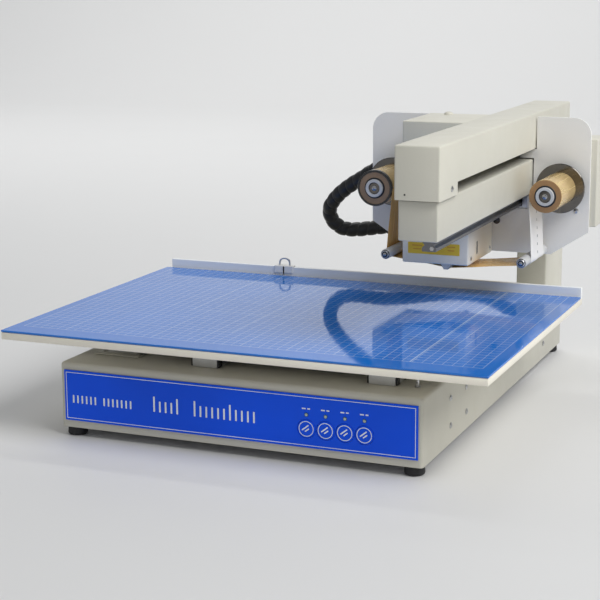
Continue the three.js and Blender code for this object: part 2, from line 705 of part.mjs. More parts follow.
place(
  carriage, "carriage_block",
  cut(
    box(
      ARM_X - CARRIAGE_BLOCK_HALF, ARM_X + CARRIAGE_BLOCK_HALF, BLOCK_Y0, BLOCK_Y0 + CARRIAGE_BLOCK_L,
      ...CARRIAGE_BLOCK_ZS,
    ),
    box(
      ARM_X - RAIL_W / 2 - GAP, ARM_X + RAIL_W / 2 + GAP, BLOCK_Y0 - 1, BLOCK_Y0 + CARRIAGE_BLOCK_L + 1,
      BEAM_BOTTOM - ARM_RAIL_H - 2 * GAP, BEAM_BOTTOM,
    ),
  ),
  STEEL,
);
// spool drives behind the plate, each under its own housing
["left", "right"].forEach((side, i) => {
  const [x0, x1] = REAR_XS[i];
  const x = SPOOL_XS[i];
  place(
    carriage, `${side}_spool_motor`,
    rod("y", SPOOL_MOTOR_R, BLOCK_Y0 + 2, BLOCK_Y0 + 2 + SPOOL_MOTOR_L, x, SPOOL_Z, 20), STEEL,
  );
  place(
    carriage, `${side}_rear_housing`,
    cut(
      softBox(x0, x1, BLOCK_Y0, BLOCK_Y0 + REAR_D, REAR_Z0, REAR_Z1, 2),
      box(
        x0 + REAR_WALL, x1 - REAR_WALL, BLOCK_Y0 + REAR_WALL, BLOCK_Y0 + REAR_D - REAR_WALL,
        REAR_Z0 - 1, REAR_Z1 - REAR_WALL,
      ),
      rod("y", SHAFT_R + 1, BLOCK_Y0 - 1, BLOCK_Y0 + 3, x, SPOOL_Z, 16),
    ),
    CREAM,
  );
});

// spools: a shaft with a wide flange, a core, and the foil wound on it
function hubShape(flangeY) {
  return turned([
    [0, SPOOL_FRONT - 1.5], [2.6, SPOOL_FRONT - 1.5], [2.6, SPOOL_FRONT], [HUB_R, SPOOL_FRONT + 1.2],
    [CORE_R, SPOOL_FRONT + 1.2], [CORE_R, flangeY], [FLANGE_R, flangeY], [FLANGE_R, flangeY + 3],
    [SHAFT_R + 3, flangeY + 3], [SHAFT_R + 3, PLATE_FRONT - 1], [SHAFT_R, PLATE_FRONT - 1],
    [SHAFT_R, BLOCK_Y0 + 1.5], [0, BLOCK_Y0 + 1.5],
  ], 40);
}
["left", "right"].forEach((side, i) => {
  const at = [SPOOL_XS[i], 0, SPOOL_Z];
  place(carriage, `${side}_spool_hub`, hubShape(FLANGE_YS[i]), BLACK, at);
  const roll = ring(CORE_R + GAP, ROLL_RS[i], FOIL_Y0 - 1, FLANGE_YS[i] - GAP, 40);
  place(carriage, `${side}_foil_roll`, roll, GOLD, at);
});

// guide rollers: a sleeve that turns on a fixed spindle, between a cap and a foot on the plate
const SPINDLE_END_R = 4.4;
const SPINDLE_FOOT_Y = PLATE_FRONT - 4;
const spindleShape = turned([
  [0, GUIDE_FRONT - 1.2], [SPINDLE_END_R, GUIDE_FRONT - 1.2], [SPINDLE_END_R, GUIDE_FRONT + 0.7],
  [PIN_R, GUIDE_FRONT + 0.7], [PIN_R, SPINDLE_FOOT_Y], [SPINDLE_END_R, SPINDLE_FOOT_Y],
  [SPINDLE_END_R, PLATE_FRONT - GAP], [0, PLATE_FRONT - GAP],
], 20);
const sleeveShape = ring(PIN_R + GAP, GUIDE_R, GUIDE_FRONT + 1, SPINDLE_FOOT_Y - GAP, 28);
["left", "right"].forEach((side, i) => {
  const at = [ROLLER_XS[i], 0, GUIDE_Z];
  place(carriage, `${side}_guide_spindle`, spindleShape, STEEL, at);
  place(carriage, `${side}_guide_roller`, sleeveShape, WHITE, at);
});

// The foil leaves the left roll, passes round the left guide, under the head's edge and up to the right roll.
function foilWeb() {
  const near = GUIDE_R + GAP;
  const far = near + FOIL_T;
  // where it leaves each roll, from the centre line
  const [leftX, rightX] = ROLL_RS.map((r) => SPOOL_DX - r - 2 * GAP - FOIL_T);
  const low = TIP_Z - GAP;
  const tipHalf = 5;
  const tip = TIP_X - HEAD_X;
  const half = (r, sign) => {
    const points = [];
    const steps = 6;
    for (let i = 0; i <= steps; i++) {
      const a = (Math.PI / 2) * (i / steps);
      points.push([sign * (GUIDE_DX + r * Math.cos(a)), GUIDE_Z - r * Math.sin(a)]);
    }
    return points;
  };
  const outer = [
    [-leftX - FOIL_T, SPOOL_Z],
    ...half(far, -1),
    [tip - tipHalf, low - FOIL_T],
    [tip + tipHalf, low - FOIL_T],
    ...half(far, 1).reverse(),
    [rightX + FOIL_T, SPOOL_Z],
  ];
  const inner = [
    [rightX, SPOOL_Z],
    ...half(near, 1),
    [tip + tipHalf, low],
    [tip - tipHalf, low],
    ...half(near, -1).reverse(),
    [-leftX, SPOOL_Z],
  ];
  return wall(outline([...outer, ...inner]), FOIL_Y0, FOIL_Y1);
}
place(carriage, "foil_web", foilWeb(), GOLD, [HEAD_X, 0, 0]);

// press housing left of the arm, with the actuator that drives the head down
const ROD_XS = [HEAD_MID - ROD_DX, HEAD_MID + ROD_DX];
place(
  carriage, "press_housing",
  cut(
    softBox(PRESS_X0, PRESS_X1, PRESS_FRONT, PLATE_FRONT + 2, PRESS_BOTTOM, PRESS_TOP, 1.5),
    box(
      PRESS_X0 + PRESS_WALL, PRESS_X1 - PRESS_WALL, PRESS_FRONT + PRESS_WALL, PLATE_FRONT + 3,
      PRESS_BOTTOM + PRESS_WALL, PRESS_TOP - PRESS_WALL,
    ),
    box(PRESS_X0, PRESS_X1, PLATE_FRONT - GAP, PLATE_BACK, PRESS_BOTTOM, PRESS_TOP),
    ...ROD_XS.map((x) => rod("z", ROD_R + 0.5, PRESS_BOTTOM - 1, PRESS_BOTTOM + 3, x, ROD_Y, 16)),
    rod("z", SPINDLE_R + 1, PRESS_BOTTOM - 1, PRESS_BOTTOM + 3, HEAD_MID, ROD_Y, 16),
  ),
  CREAM,
);
place(
  carriage, "press_actuator",
  cut(
    softBox(
      HEAD_MID - ACTUATOR_HALF_W, HEAD_MID + ACTUATOR_HALF_W,
      ROD_Y - ACTUATOR_HALF_D, ROD_Y + ACTUATOR_HALF_D, ...ACTUATOR_ZS, 2, 1,
    ),
    rod("z", SPINDLE_R + 0.5, ACTUATOR_ZS[0] - 1, ACTUATOR_ZS[1] + 1, HEAD_MID, ROD_Y, 16),
  ),
  DARK_STEEL,
);

// print head: a box with the heated edge coming out of its floor, hung on two guide rods and a spindle
const HEAD_X0 = HEAD_MID - HEAD_W / 2;
const HEAD_X1 = HEAD_MID + HEAD_W / 2;
const HEAD_BACK = PLATE_FRONT - 0.6;
const TIP_SLOT = 14; // half width of the opening in the head's floor
const head = new THREE.Group();
carriage.add(head);
place(
  head, "head_cover",
  cut(
    softBox(HEAD_X0, HEAD_X1, HEAD_FRONT, HEAD_BACK, HEAD_BOTTOM, HEAD_TOP, 2),
    box(
      HEAD_X0 + HEAD_WALL, HEAD_X1 - HEAD_WALL, HEAD_FRONT + HEAD_WALL, HEAD_BACK - HEAD_WALL,
      HEAD_BOTTOM + HEAD_WALL, HEAD_TOP - HEAD_WALL,
    ),
    box(TIP_X - TIP_SLOT, TIP_X + TIP_SLOT, TIP_Y0 - 0.5, TIP_Y1 + 0.5, HEAD_BOTTOM - 1, HEAD_BOTTOM + 3),
    box(HEAD_X1 - 3, HEAD_X1 + 1, ...HEAD_SLOT.y, ...HEAD_SLOT.z),
  ),
  PALE,
);
// The edge comes down to a narrow flat; its carrier is wider, inside the head.
const EDGE_HALF = 2.5;
const CARRIER_HALF = TIP_SLOT - 1;
const CARRIER_Z = HEAD_BOTTOM + 12;
const CARRIER_TOP = CARRIER_Z + 24;
place(
  head, "thermal_head",
  wall(
    outline([
      [-EDGE_HALF, TIP_Z], [EDGE_HALF, TIP_Z], [CARRIER_HALF, CARRIER_Z], [CARRIER_HALF, CARRIER_TOP],
      [-CARRIER_HALF, CARRIER_TOP], [-CARRIER_HALF, CARRIER_Z],
    ]),
    TIP_Y0, TIP_Y1,
  ),
  ALUMINIUM, [TIP_X, 0, 0],
);
place(
  head, "press_crosshead",
  join(
    box(ROD_XS[0] - 8, ROD_XS[1] + 8, ROD_Y - 8, ROD_Y + 8, HEAD_TOP + GAP, HEAD_TOP + 5),
    ...ROD_XS.map((x) => rod("z", ROD_R, HEAD_TOP + 1, ROD_TOP, x, ROD_Y, 16)),
    rod("z", SPINDLE_R, HEAD_TOP + 1, ROD_TOP + 2, HEAD_MID, ROD_Y, 16),
  ),
  STEEL,
);

// ---------- hose from the carriage to the column ----------
const hoseRoute = [
  [4.6, 152, 243], [-5, 152, 243], [-17.8, 153, 237], [-30, 155, 229.3], [-43, 158, 221.6],
  [-55, 161.5, 213.6], [-66.5, 165.5, 204.4], [-75.6, 169.5, 194.6], [-80.6, 173, 187], [-82.2, 177, 179],
  [-80.7, 180.5, 171.1], [-76, 184, 164.2], [-69.1, 187, 159.5], [-60.5, 190, 157.8], [-50, 193, 157.9],
  [-38, 196.5, 159.2], [-18.2, 204, 161.3], [6, 216, 160.5], [33, 232, 158.5], [62, 248, 157.5],
  [92, 258, 160.5], [114, 256, 166], [128, 250, 170.5], [141, 245.5, 172], [151.2, 245.5, 172],
];
const hosePath = new THREE.CatmullRomCurve3(
  hoseRoute.map((p) => new THREE.Vector3(...p)), false, "centripetal",
);
const HOSE_SIDES = 10;
const hoseSection = outline(
  Array.from({ length: HOSE_SIDES }, (_, i) => {
    const a = (2 * Math.PI * i) / HOSE_SIDES;
    return [HOSE_R * Math.cos(a), HOSE_R * Math.sin(a)];
  }),
);
place(
  machine, "carriage_hose",
  new THREE.ExtrudeGeometry(hoseSection, { steps: 40, bevelEnabled: false, extrudePath: hosePath }), RUBBER,
);

export default machine;
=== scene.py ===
"""A flatbed foil printer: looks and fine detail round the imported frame, in metres, +Z up, feet on z 0."""

import json
import math
import random

import bmesh
import bpy
from mathutils import Matrix, Vector


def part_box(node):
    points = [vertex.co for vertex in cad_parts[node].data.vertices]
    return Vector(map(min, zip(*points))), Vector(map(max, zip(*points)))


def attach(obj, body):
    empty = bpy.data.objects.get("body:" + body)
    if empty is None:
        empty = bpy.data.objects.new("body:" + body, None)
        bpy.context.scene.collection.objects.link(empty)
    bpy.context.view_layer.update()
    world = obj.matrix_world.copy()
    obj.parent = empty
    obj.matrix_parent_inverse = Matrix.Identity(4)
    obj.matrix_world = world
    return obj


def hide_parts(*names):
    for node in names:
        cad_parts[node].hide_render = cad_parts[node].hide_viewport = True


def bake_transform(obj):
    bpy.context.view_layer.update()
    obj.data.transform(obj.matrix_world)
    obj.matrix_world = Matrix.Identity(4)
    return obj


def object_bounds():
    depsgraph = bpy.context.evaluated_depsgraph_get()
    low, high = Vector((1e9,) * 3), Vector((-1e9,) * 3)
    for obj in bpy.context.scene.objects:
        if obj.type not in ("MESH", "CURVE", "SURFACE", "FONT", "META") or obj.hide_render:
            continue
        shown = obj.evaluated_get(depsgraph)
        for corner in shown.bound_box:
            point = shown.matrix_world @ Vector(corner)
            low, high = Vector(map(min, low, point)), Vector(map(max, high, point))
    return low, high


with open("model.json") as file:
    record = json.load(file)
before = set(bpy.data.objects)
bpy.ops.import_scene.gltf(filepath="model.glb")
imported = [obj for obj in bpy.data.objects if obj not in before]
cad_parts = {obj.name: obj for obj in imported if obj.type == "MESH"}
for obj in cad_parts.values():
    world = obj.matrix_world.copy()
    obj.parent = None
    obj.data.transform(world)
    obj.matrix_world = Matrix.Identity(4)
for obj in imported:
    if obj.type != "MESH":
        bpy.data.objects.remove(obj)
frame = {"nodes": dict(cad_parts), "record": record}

CAD_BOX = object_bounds()
MM = 0.001
SINK = 0.0001  # how far a screw's head sits in the face it is on
RIGHT, LEFT = (1, 0, 0), (-1, 0, 0)
BACK, FRONT = (0, 1, 0), (0, -1, 0)
UP, DOWN = (0, 0, 1), (0, 0, -1)


# ---------- camera ----------
CAMERA_AT = (0.6415, -1.6555, 0.4849)
CAMERA_AHEAD = (-0.3771, 0.9027, -0.2073)
CAMERA_SIDE = (0.9232, 0.3842, -0.0064)
CAMERA_LENS = 94.83  # on a 36 mm sensor


def make_camera():
    forward = Vector(CAMERA_AHEAD).normalized()
    right = Vector(CAMERA_SIDE)
    right = (right - forward * right.dot(forward)).normalized()
    up = right.cross(forward)
    turn = Matrix((right, up, -forward)).transposed()
    camera = bpy.data.objects.new("camera", bpy.data.cameras.new("camera"))
    camera.data.lens = CAMERA_LENS
    camera.data.sensor_width = 36
    camera.data.clip_end = 200
    camera.matrix_world = Matrix.Translation(CAMERA_AT) @ turn.to_4x4()
    bpy.context.scene.collection.objects.link(camera)
    bpy.context.scene.camera = camera


# ---------- materials ----------
class Look:
    """One procedural material: a shader, and the nodes that feed it. Lengths are in metres."""

    def __init__(self, name, color, roughness, metallic=0.0, **inputs):
        self.color = color
        self.material = bpy.data.materials.new(name)
        self.material.use_nodes = True
        self.tree = self.material.node_tree
        self.shader = self.tree.nodes["Principled BSDF"]
        self.place = self.node("ShaderNodeTexCoord").outputs["Object"]
        self.set("Base Color", (*color, 1))
        self.set("Roughness", roughness)
        self.set("Metallic", metallic)
        for key, value in inputs.items():
            self.set(key.replace("_", " "), value)

    def set(self, socket, value):
        self.shader.inputs[socket].default_value = value

    def feed(self, socket, source):
        self.tree.links.new(source, self.shader.inputs[socket])

    def node(self, kind, **settings):
        made = self.tree.nodes.new(kind)
        for key, value in settings.items():
            setattr(made, key, value)
        return made

    def fill(self, socket, value):
        if isinstance(value, (int, float)):
            socket.default_value = value
        elif isinstance(value, (tuple, list)):
            socket.default_value = (*value, 1) if len(value) == 3 and socket.type == "RGBA" else value
        else:
            self.tree.links.new(value, socket)

    def math(self, operation, a, b=0.0, clamp=False):
        made = self.node("ShaderNodeMath", operation=operation, use_clamp=clamp)
        self.fill(made.inputs[0], a)
        self.fill(made.inputs[1], b)
        return made.outputs[0]

    def noise(self, scale, detail, stretch=(1, 1, 1), seed=0.0):
        mapping = self.node("ShaderNodeMapping")
        mapping.inputs["Scale"].default_value = stretch
        mapping.inputs["Location"].default_value = (seed, seed, seed)
        self.tree.links.new(self.place, mapping.inputs["Vector"])
        made = self.node("ShaderNodeTexNoise")
        made.inputs["Scale"].default_value = scale
        made.inputs["Detail"].default_value = detail
        self.tree.links.new(mapping.outputs[0], made.inputs["Vector"])
        return made.outputs["Fac"]

    def spread(self, value, low, high, from_low=0.3, from_high=0.7):
        made = self.node("ShaderNodeMapRange")
        ends = {"From Min": from_low, "From Max": from_high, "To Min": low, "To Max": high}
        for key, number in ends.items():
            made.inputs[key].default_value = number
        self.fill(made.inputs["Value"], value)
        return made.outputs["Result"]

    def mix(self, factor, a, b):
        made = self.node("ShaderNodeMix", data_type="RGBA")
        self.fill(made.inputs["Factor"], factor)
        self.fill(made.inputs["A"], a)
        self.fill(made.inputs["B"], b)
        return made.outputs["Result"]

    def tone(self, scale, low, high, detail=3):
        """The look's own colour, drifting in soft patches between two shares of it."""
        patches = self.spread(self.noise(scale, detail), 0, 1)
        return self.mix(patches, shifted(self.color, low), shifted(self.color, high))

    def axes(self):
        made = self.node("ShaderNodeSeparateXYZ")
        self.tree.links.new(self.place, made.inputs[0])
        return made.outputs

    def bump(self, height, strength, distance):
        made = self.node("ShaderNodeBump")
        made.inputs["Strength"].default_value = strength
        made.inputs["Distance"].default_value = distance
        self.tree.links.new(height, made.inputs["Height"])
        if self.shader.inputs["Normal"].is_linked:
            self.tree.links.new(self.shader.inputs["Normal"].links[0].from_socket, made.inputs["Normal"])
        self.tree.links.new(made.outputs[0], self.shader.inputs["Normal"])

    def below(self, value, limit):
        """1 where value is under limit, falling to 0 over a soft edge."""
        soft = 0.00008
        return self.spread(value, 1, 0, limit, limit + soft)


def shifted(color, share):
    return tuple(min(1.0, c * share) for c in color)


def coated(name, color, roughness):
    """Powder coat: a fine orange-peel skin over steel, a little uneven in tone and gloss, with faint dust."""
    look = Look(name, color, roughness, Specular_IOR_Level=0.5)
    tone = look.tone(7, 0.95, 1.03, 4)
    speck = look.spread(look.noise(900, 1, seed=3), 0, 0.25, 0.62, 0.8)
    look.feed("Base Color", look.mix(speck, tone, shifted(color, 0.8)))
    look.feed("Roughness", look.spread(look.noise(45, 3), roughness - 0.07, roughness + 0.08))
    look.bump(look.noise(1100, 2), 0.35, 0.00009)
    look.bump(look.noise(260, 1, seed=5), 0.22, 0.0002)
    return look.material


def brushed(name, color, roughness, along="X"):
    """Drawn or ground metal with lines along one axis."""
    look = Look(name, color, roughness, 1.0)
    stretch = {"X": (0.02, 1, 1), "Y": (1, 0.02, 1)}[along]
    lines = look.noise(1500, 3, stretch)
    look.feed("Roughness", look.spread(lines, roughness - 0.08, roughness + 0.14))
    look.feed("Base Color", look.tone(60, 0.86, 1.08))
    look.bump(lines, 0.12, 0.00005)
    return look.material


def moulded(name, color, roughness, grain=900, **inputs):
    """Moulded plastic or rubber with a fine grain."""
    look = Look(name, color, roughness, inputs.pop("Metallic", 0.0), **inputs)
    look.feed("Base Color", look.tone(25, 0.85, 1.1))
    look.feed("Roughness", look.spread(look.noise(120, 2), roughness - 0.05, roughness + 0.07))
    look.bump(look.noise(grain, 2), 0.15, 0.00006)
    return look.material


def foil_gold(name, color, streak, metallic, crease=0.0003):
    """Metallised film: bright, with fine lines where the layers lie, soft creases, and a few darker bands
    painted in as reflection of dark surroundings.
    """
    look = Look(name, color, 0.24, metallic)
    lines = look.noise(260, 2, streak)
    # darker bands along the film: painted reflection of dark surroundings
    reflection_band = look.spread(look.noise(42, 2, streak, seed=4), 0, 0.32, 0.42, 0.72)
    fine = look.mix(look.spread(lines, 0, 1), shifted(color, 0.9), shifted(color, 1.08))
    look.feed("Base Color", look.mix(reflection_band, fine, shifted(color, 0.5)))
    look.feed("Roughness", look.spread(lines, 0.17, 0.3))
    look.bump(lines, 0.08, 0.00008)
    look.bump(look.noise(70, 1, streak, seed=2), 0.25, crease)
    return look.material


# the bed's printed ruling, in metres in the frame's own axes
RULE_X0, RULE_X1 = -0.253, 0.247
RULE_Y0, RULE_Y1 = -0.269, 0.081
RULE_STEP = 0.010
DATUM_X, DATUM_Y = 0.175, 0.078
A4_SHORT, A4_LONG = 0.210, 0.297
BED_BLUE = (0.006, 0.175, 0.66)
RULE_BLUE = (0.62, 0.76, 0.95)
PANEL_BLUE = (0.0005, 0.088, 0.86)


def bed_ruling(look):
    """1 on the print: centimetre squares, every fifth line bolder, a datum line and two paper outlines."""
    x, y, _ = look.axes()

    def away(value, middle, half):
        return look.math("SUBTRACT", look.math("ABSOLUTE", look.math("SUBTRACT", value, middle)), half)

    def boxed(x0, x1, y0, y1):
        """Distance outside a rectangle, negative inside."""
        across = away(x, (x0 + x1) / 2, (x1 - x0) / 2)
        return look.math("MAXIMUM", across, away(y, (y0 + y1) / 2, (y1 - y0) / 2))

    def outlined(x0, x1, y0, y1, half=0.0003):
        return look.below(look.math("ABSOLUTE", boxed(x0, x1, y0, y1)), half)

    def beside(value, start, spacing):
        """Distance from the nearest of a set of parallel lines."""
        return look.math("PINGPONG", look.math("SUBTRACT", value, start), spacing / 2)

    def squares(spacing, half):
        columns = look.below(beside(x, RULE_X0, spacing), half)
        return look.math("MAXIMUM", columns, look.below(beside(y, RULE_Y1, spacing), half))

    inside = look.below(boxed(RULE_X0, RULE_X1, RULE_Y0, RULE_Y1), 0.0003)
    datum = look.below(away(x, DATUM_X, 0.0), 0.0007)
    tick_row = look.below(beside(y, RULE_Y1, RULE_STEP), 0.0005)
    ticks = look.math("MULTIPLY", tick_row, look.below(away(x, DATUM_X + 0.004, 0.0022), 0.0))
    ruled = squares(RULE_STEP, 0.00022)
    for more in (squares(RULE_STEP * 5, 0.00032), datum, ticks):
        ruled = look.math("MAXIMUM", ruled, more)
    ruled = look.math("MULTIPLY", ruled, inside)
    portrait = outlined(DATUM_X - A4_SHORT, DATUM_X, DATUM_Y - A4_LONG, DATUM_Y)
    landscape = outlined(DATUM_X - A4_LONG, DATUM_X, DATUM_Y - A4_SHORT, DATUM_Y)
    paper = look.math("MULTIPLY", look.math("MAXIMUM", portrait, landscape), 0.8)
    return look.math("MAXIMUM", ruled, paper, clamp=True)


def ruled_film():
    """Glossy blue film on the bed, with its print under the gloss."""
    look = Look("bed_film", BED_BLUE, 0.07, IOR=1.6)
    print_strength = look.math("MULTIPLY", bed_ruling(look), 0.66)
    look.feed("Base Color", look.mix(print_strength, look.tone(5, 0.93, 1.06), RULE_BLUE))
    look.feed("Roughness", look.spread(look.noise(30, 4, seed=7), 0.035, 0.075))
    look.bump(look.noise(9, 1, seed=1), 0.02, 0.0002)
    return look.material


def panel_film():
    """The printed overlay on the front: even blue with a fine matt texture."""
    look = Look("panel_film", PANEL_BLUE, 0.4, Specular_IOR_Level=0.22)
    look.feed("Base Color", look.tone(6, 0.9, 1.12))
    look.feed("Roughness", look.spread(look.noise(60, 3), 0.34, 0.46))
    look.bump(look.noise(1600, 2), 0.1, 0.00004)
    return look.material


def circuit_board():
    """Green board with a lighter row of traces."""
    green = (0.02, 0.16, 0.06)
    look = Look("circuit", green, 0.4)
    traces = look.below(look.math("PINGPONG", look.axes()[0], 0.002), 0.0004)
    look.feed("Base Color", look.mix(traces, green, (0.05, 0.28, 0.12)))
    look.bump(traces, 0.3, 0.0001)
    return look.material


def ringed_end(name, color, centre):
    """Wound layers seen on the end of a roll whose axis is along Y through centre."""
    half_pitch = 0.00055
    look = Look(name, color, 0.42, 0.6)
    x, _, z = look.axes()
    dx = look.math("SUBTRACT", x, centre[0])
    dz = look.math("SUBTRACT", z, centre[2])
    radius = look.math("SQRT", look.math("ADD", look.math("MULTIPLY", dx, dx), look.math("MULTIPLY", dz, dz)))
    ring = look.math("PINGPONG", radius, half_pitch)
    ring = look.spread(ring, 0, 1, 0, half_pitch)
    look.feed("Base Color", look.mix(ring, shifted(color, 0.72), shifted(color, 1.12)))
    look.bump(ring, 0.25, 0.0001)
    return look.material


def strip_white():
    """The backing side of the foil: white film with a column of short printed dashes."""
    white = (0.88, 0.87, 0.86)
    look = Look("foil_backing", white, 0.35)
    _, y, z = look.axes()
    dash = look.below(look.math("PINGPONG", z, 0.0046), 0.0015)
    column = look.below(look.math("ABSOLUTE", look.math("SUBTRACT", y, 0.074)), 0.0011)
    mark = look.math("MULTIPLY", dash, column)
    look.feed("Base Color", look.mix(mark, white, (0.22, 0.22, 0.24)))
    look.bump(look.noise(70, 2), 0.12, 0.0004)
    return look.material


CREAM = (0.69, 0.672, 0.58)
LOOKS = {
    "cream_paint": coated("cream_paint", CREAM, 0.42),
    "pale_paint": coated("pale_paint", (0.92, 0.915, 0.895), 0.36),
    "steel": brushed("steel", (0.62, 0.62, 0.63), 0.3),
    "dark_steel": brushed("dark_steel", (0.21, 0.21, 0.22), 0.34, "Y"),
    "aluminium": brushed("aluminium", (0.62, 0.62, 0.61), 0.4),
    "black_plastic": moulded(
        "black_plastic", (0.012, 0.012, 0.014), 0.12, Coat_Weight=0.5, Coat_Roughness=0.05,
    ),
    "rubber": moulded("rubber", (0.016, 0.016, 0.018), 0.62, 700),
    "panel_film": panel_film(),
    "bed_film": ruled_film(),
    "white_plastic": moulded("white_plastic", (0.62, 0.63, 0.64), 0.35),
    "foil": foil_gold("foil", (1.0, 0.70, 0.33), (1, 0.05, 1), 0.48),
    "circuit": circuit_board(),
    "hose_sleeve": moulded("hose_sleeve", (0.014, 0.014, 0.016), 0.36, 1400),
}
INK = moulded("ink", (0.86, 0.92, 1.0), 0.5)
OTHER_LOOKS = {
    "bed_plate": coated("bed_paint", (0.93, 0.885, 0.77), 0.4),
    # the base's cream darkened to 0.84: painted shade for the shadow the bed's overhang casts on the base
    "base_shell": coated("base_paint_and_painted_shade", shifted(CREAM, 0.84), 0.42),
    # the beam's cream darkened to 0.91: painted shade for the beam's darker side
    "arm_beam": coated("beam_paint_and_painted_shade", shifted(CREAM, 0.91), 0.42),
    "head_cover": coated("head_paint", (0.97, 0.91, 0.78), 0.36),
    # the fence's pale paint with a slight blue tint: the tint is painted reflection of the blue bed's light
    "rear_fence": coated("fence", (0.95, 0.97, 0.99), 0.34),
}
SCREW = brushed("screw", (0.55, 0.55, 0.56), 0.24)
DARK_SCREW = brushed("dark_screw", (0.10, 0.10, 0.11), 0.3)
STRIP = foil_gold("strip", (1.0, 0.60, 0.20), (0.3, 1, 0.05), 0.08, 0.0002)
CHROME = moulded("dark_chrome", (0.17, 0.16, 0.15), 0.1, 300, Metallic=1.0)
BACKING = strip_white()
LABEL = moulded("label", (1.0, 0.64, 0.05), 0.45)
LABEL_INK = moulded("label_ink", (0.78, 0.36, 0.04), 0.5)
LENS = moulded("lens", (0.45, 0.50, 0.48), 0.15, Coat_Weight=0.8)
SEAL = moulded("seal", (0.02, 0.022, 0.025), 0.45)


# ---------- mesh helpers ----------
def bevelled(obj, width):
    made = obj.modifiers.new("edge", "BEVEL")
    made.width = width
    made.segments = 2
    made.limit_method = "ANGLE"
    made.angle_limit = math.radians(35)
    made.harden_normals = True


def smoothed(mesh, angle):
    mesh.polygons.foreach_set("use_smooth", [True] * len(mesh.polygons))
    mesh.set_sharp_from_angle(angle=math.radians(angle))


def piece(name, bm, look, body, edge=0.0, angle=35):
    """A mesh in the part's frame that rides on a body, with bevelled edges where edge is given."""
    bmesh.ops.recalc_face_normals(bm, faces=bm.faces)
    mesh = bpy.data.meshes.new(name)
    bm.to_mesh(mesh)
    bm.free()
    smoothed(mesh, angle)
    mesh.materials.append(look)
    obj = bpy.data.objects.new(name, mesh)
    bpy.context.scene.collection.objects.link(obj)
    if edge:
        bevelled(obj, edge)
    if body:
        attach(obj, body)
    return obj


def axis_of(node):
    """A node's middle, and its lowest and highest corners."""
    low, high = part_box(node)
    return (low + high) / 2, low, high


def add_block(bm, low, high, edge=0.0, segments=2):
    low, high = Vector(low), Vector(high)
    size = Matrix.Diagonal((*(high - low), 1))
    made = bmesh.ops.create_cube(bm, size=1, matrix=Matrix.Translation((low + high) / 2) @ size)
    if edge:
        edges = list(dict.fromkeys(e for v in made["verts"] for e in v.link_edges))
        bmesh.ops.bevel(bm, geom=edges, offset=edge, segments=segments, affect="EDGES", profile=0.5)


def facing(at, direction):
    """The placing that turns +Z to a direction at a place."""
    turn = Vector(UP).rotation_difference(Vector(direction)).to_matrix().to_4x4()
    return Matrix.Translation(at) @ turn


def skin(bm, rings):
    """Faces between neighbouring closed rings, with a cap at each end."""
    sides = len(rings[0])
    for a, b in zip(rings, rings[1:]):
        for i in range(sides):
            j = (i + 1) % sides
            bm.faces.new([a[i], a[j], b[j], b[i]])
    bm.faces.new(rings[0][::-1])
    bm.faces.new(rings[-1])


def add_turned(bm, profile, at, direction, sides):
    """An outline of (radius, distance along) points, turned round a direction from a place on it."""
    move = facing(at, direction)
    rings = []
    for radius, along in profile:
        if radius < 1e-7:
            rings.append([bm.verts.new(move @ Vector((0, 0, along)))])
            continue
        steps = [2 * math.pi * i / sides for i in range(sides)]
        ring = [Vector((radius * math.cos(a), radius * math.sin(a), along)) for a in steps]
        rings.append([bm.verts.new(move @ point) for point in ring])
    for a, b in zip(rings, rings[1:]):
        for i in range(sides):
            j = (i + 1) % sides
            corners = [a[i % len(a)], a[j % len(a)], b[j % len(b)], b[i % len(b)]]
            kept = list(dict.fromkeys(corners))
            if len(kept) > 2:
                bm.faces.new(kept)


def turned(name, profile, at, direction, sides, look, body, edge=0.0, angle=35):
    bm = bmesh.new()
    add_turned(bm, profile, at, direction, sides)
    return piece(name, bm, look, body, edge, angle)


def disc(radius, thick, start=0):
    return [(0, start), (radius, start), (radius, start + thick), (0, start + thick)]


def washer(inner, outer, thick):
    return [(inner, 0), (outer, 0), (outer, thick), (inner, thick), (inner, 0)]


def add_prism(bm, outline, across, up, at, depth):
    """An outline of 2-D points on two directions, given depth along their cross product."""
    across, up = Vector(across), Vector(up)
    out = across.cross(up)
    base = [Vector(at) + across * a + up * b for a, b in outline]
    skin(bm, [[bm.verts.new(p + out * reach) for p in base] for reach in (0.0, depth)])


def add_screw(bm, at, direction, radius):
    """A domed screw head with a cross recess."""
    height = radius * 0.55
    move = facing(at, direction)
    sides = 32

    def recess(a):
        return radius * (0.14 + 0.38 * abs(math.cos(2 * a)) ** 5)

    def dome(r):
        return height * (1 - 0.55 * (r / radius) ** 2)

    rings = []
    last = 5
    for step in range(last + 1):
        ring = []
        for i in range(sides):
            a = 2 * math.pi * i / sides
            inner = recess(a)
            if step == 0:
                r, h = inner * 0.8, height * 0.35
            elif step == last:
                r, h = radius, 0.0
            else:
                r = inner + (radius - inner) * (step - 1) / 3
                h = dome(r)
            ring.append(bm.verts.new(move @ Vector((r * math.cos(a), r * math.sin(a), h))))
        rings.append(ring)
    skin(bm, rings)


def screws(name, places, direction, radius, body, look=SCREW):
    bm = bmesh.new()
    for at in places:
        add_screw(bm, at, direction, radius)
    return piece(name, bm, look, body)


def rounded(width, height, radius, steps):
    """A rectangle's outline with round corners, about its middle."""
    points = []
    for cx, cy, start in ((1, 1, 0), (-1, 1, 90), (-1, -1, 180), (1, -1, 270)):
        for i in range(steps + 1):
            a = math.radians(start + 90 * i / steps)
            middle_x = cx * (width / 2 - radius)
            middle_y = cy * (height / 2 - radius)
            points.append((middle_x + radius * math.cos(a), middle_y + radius * math.sin(a)))
    return points


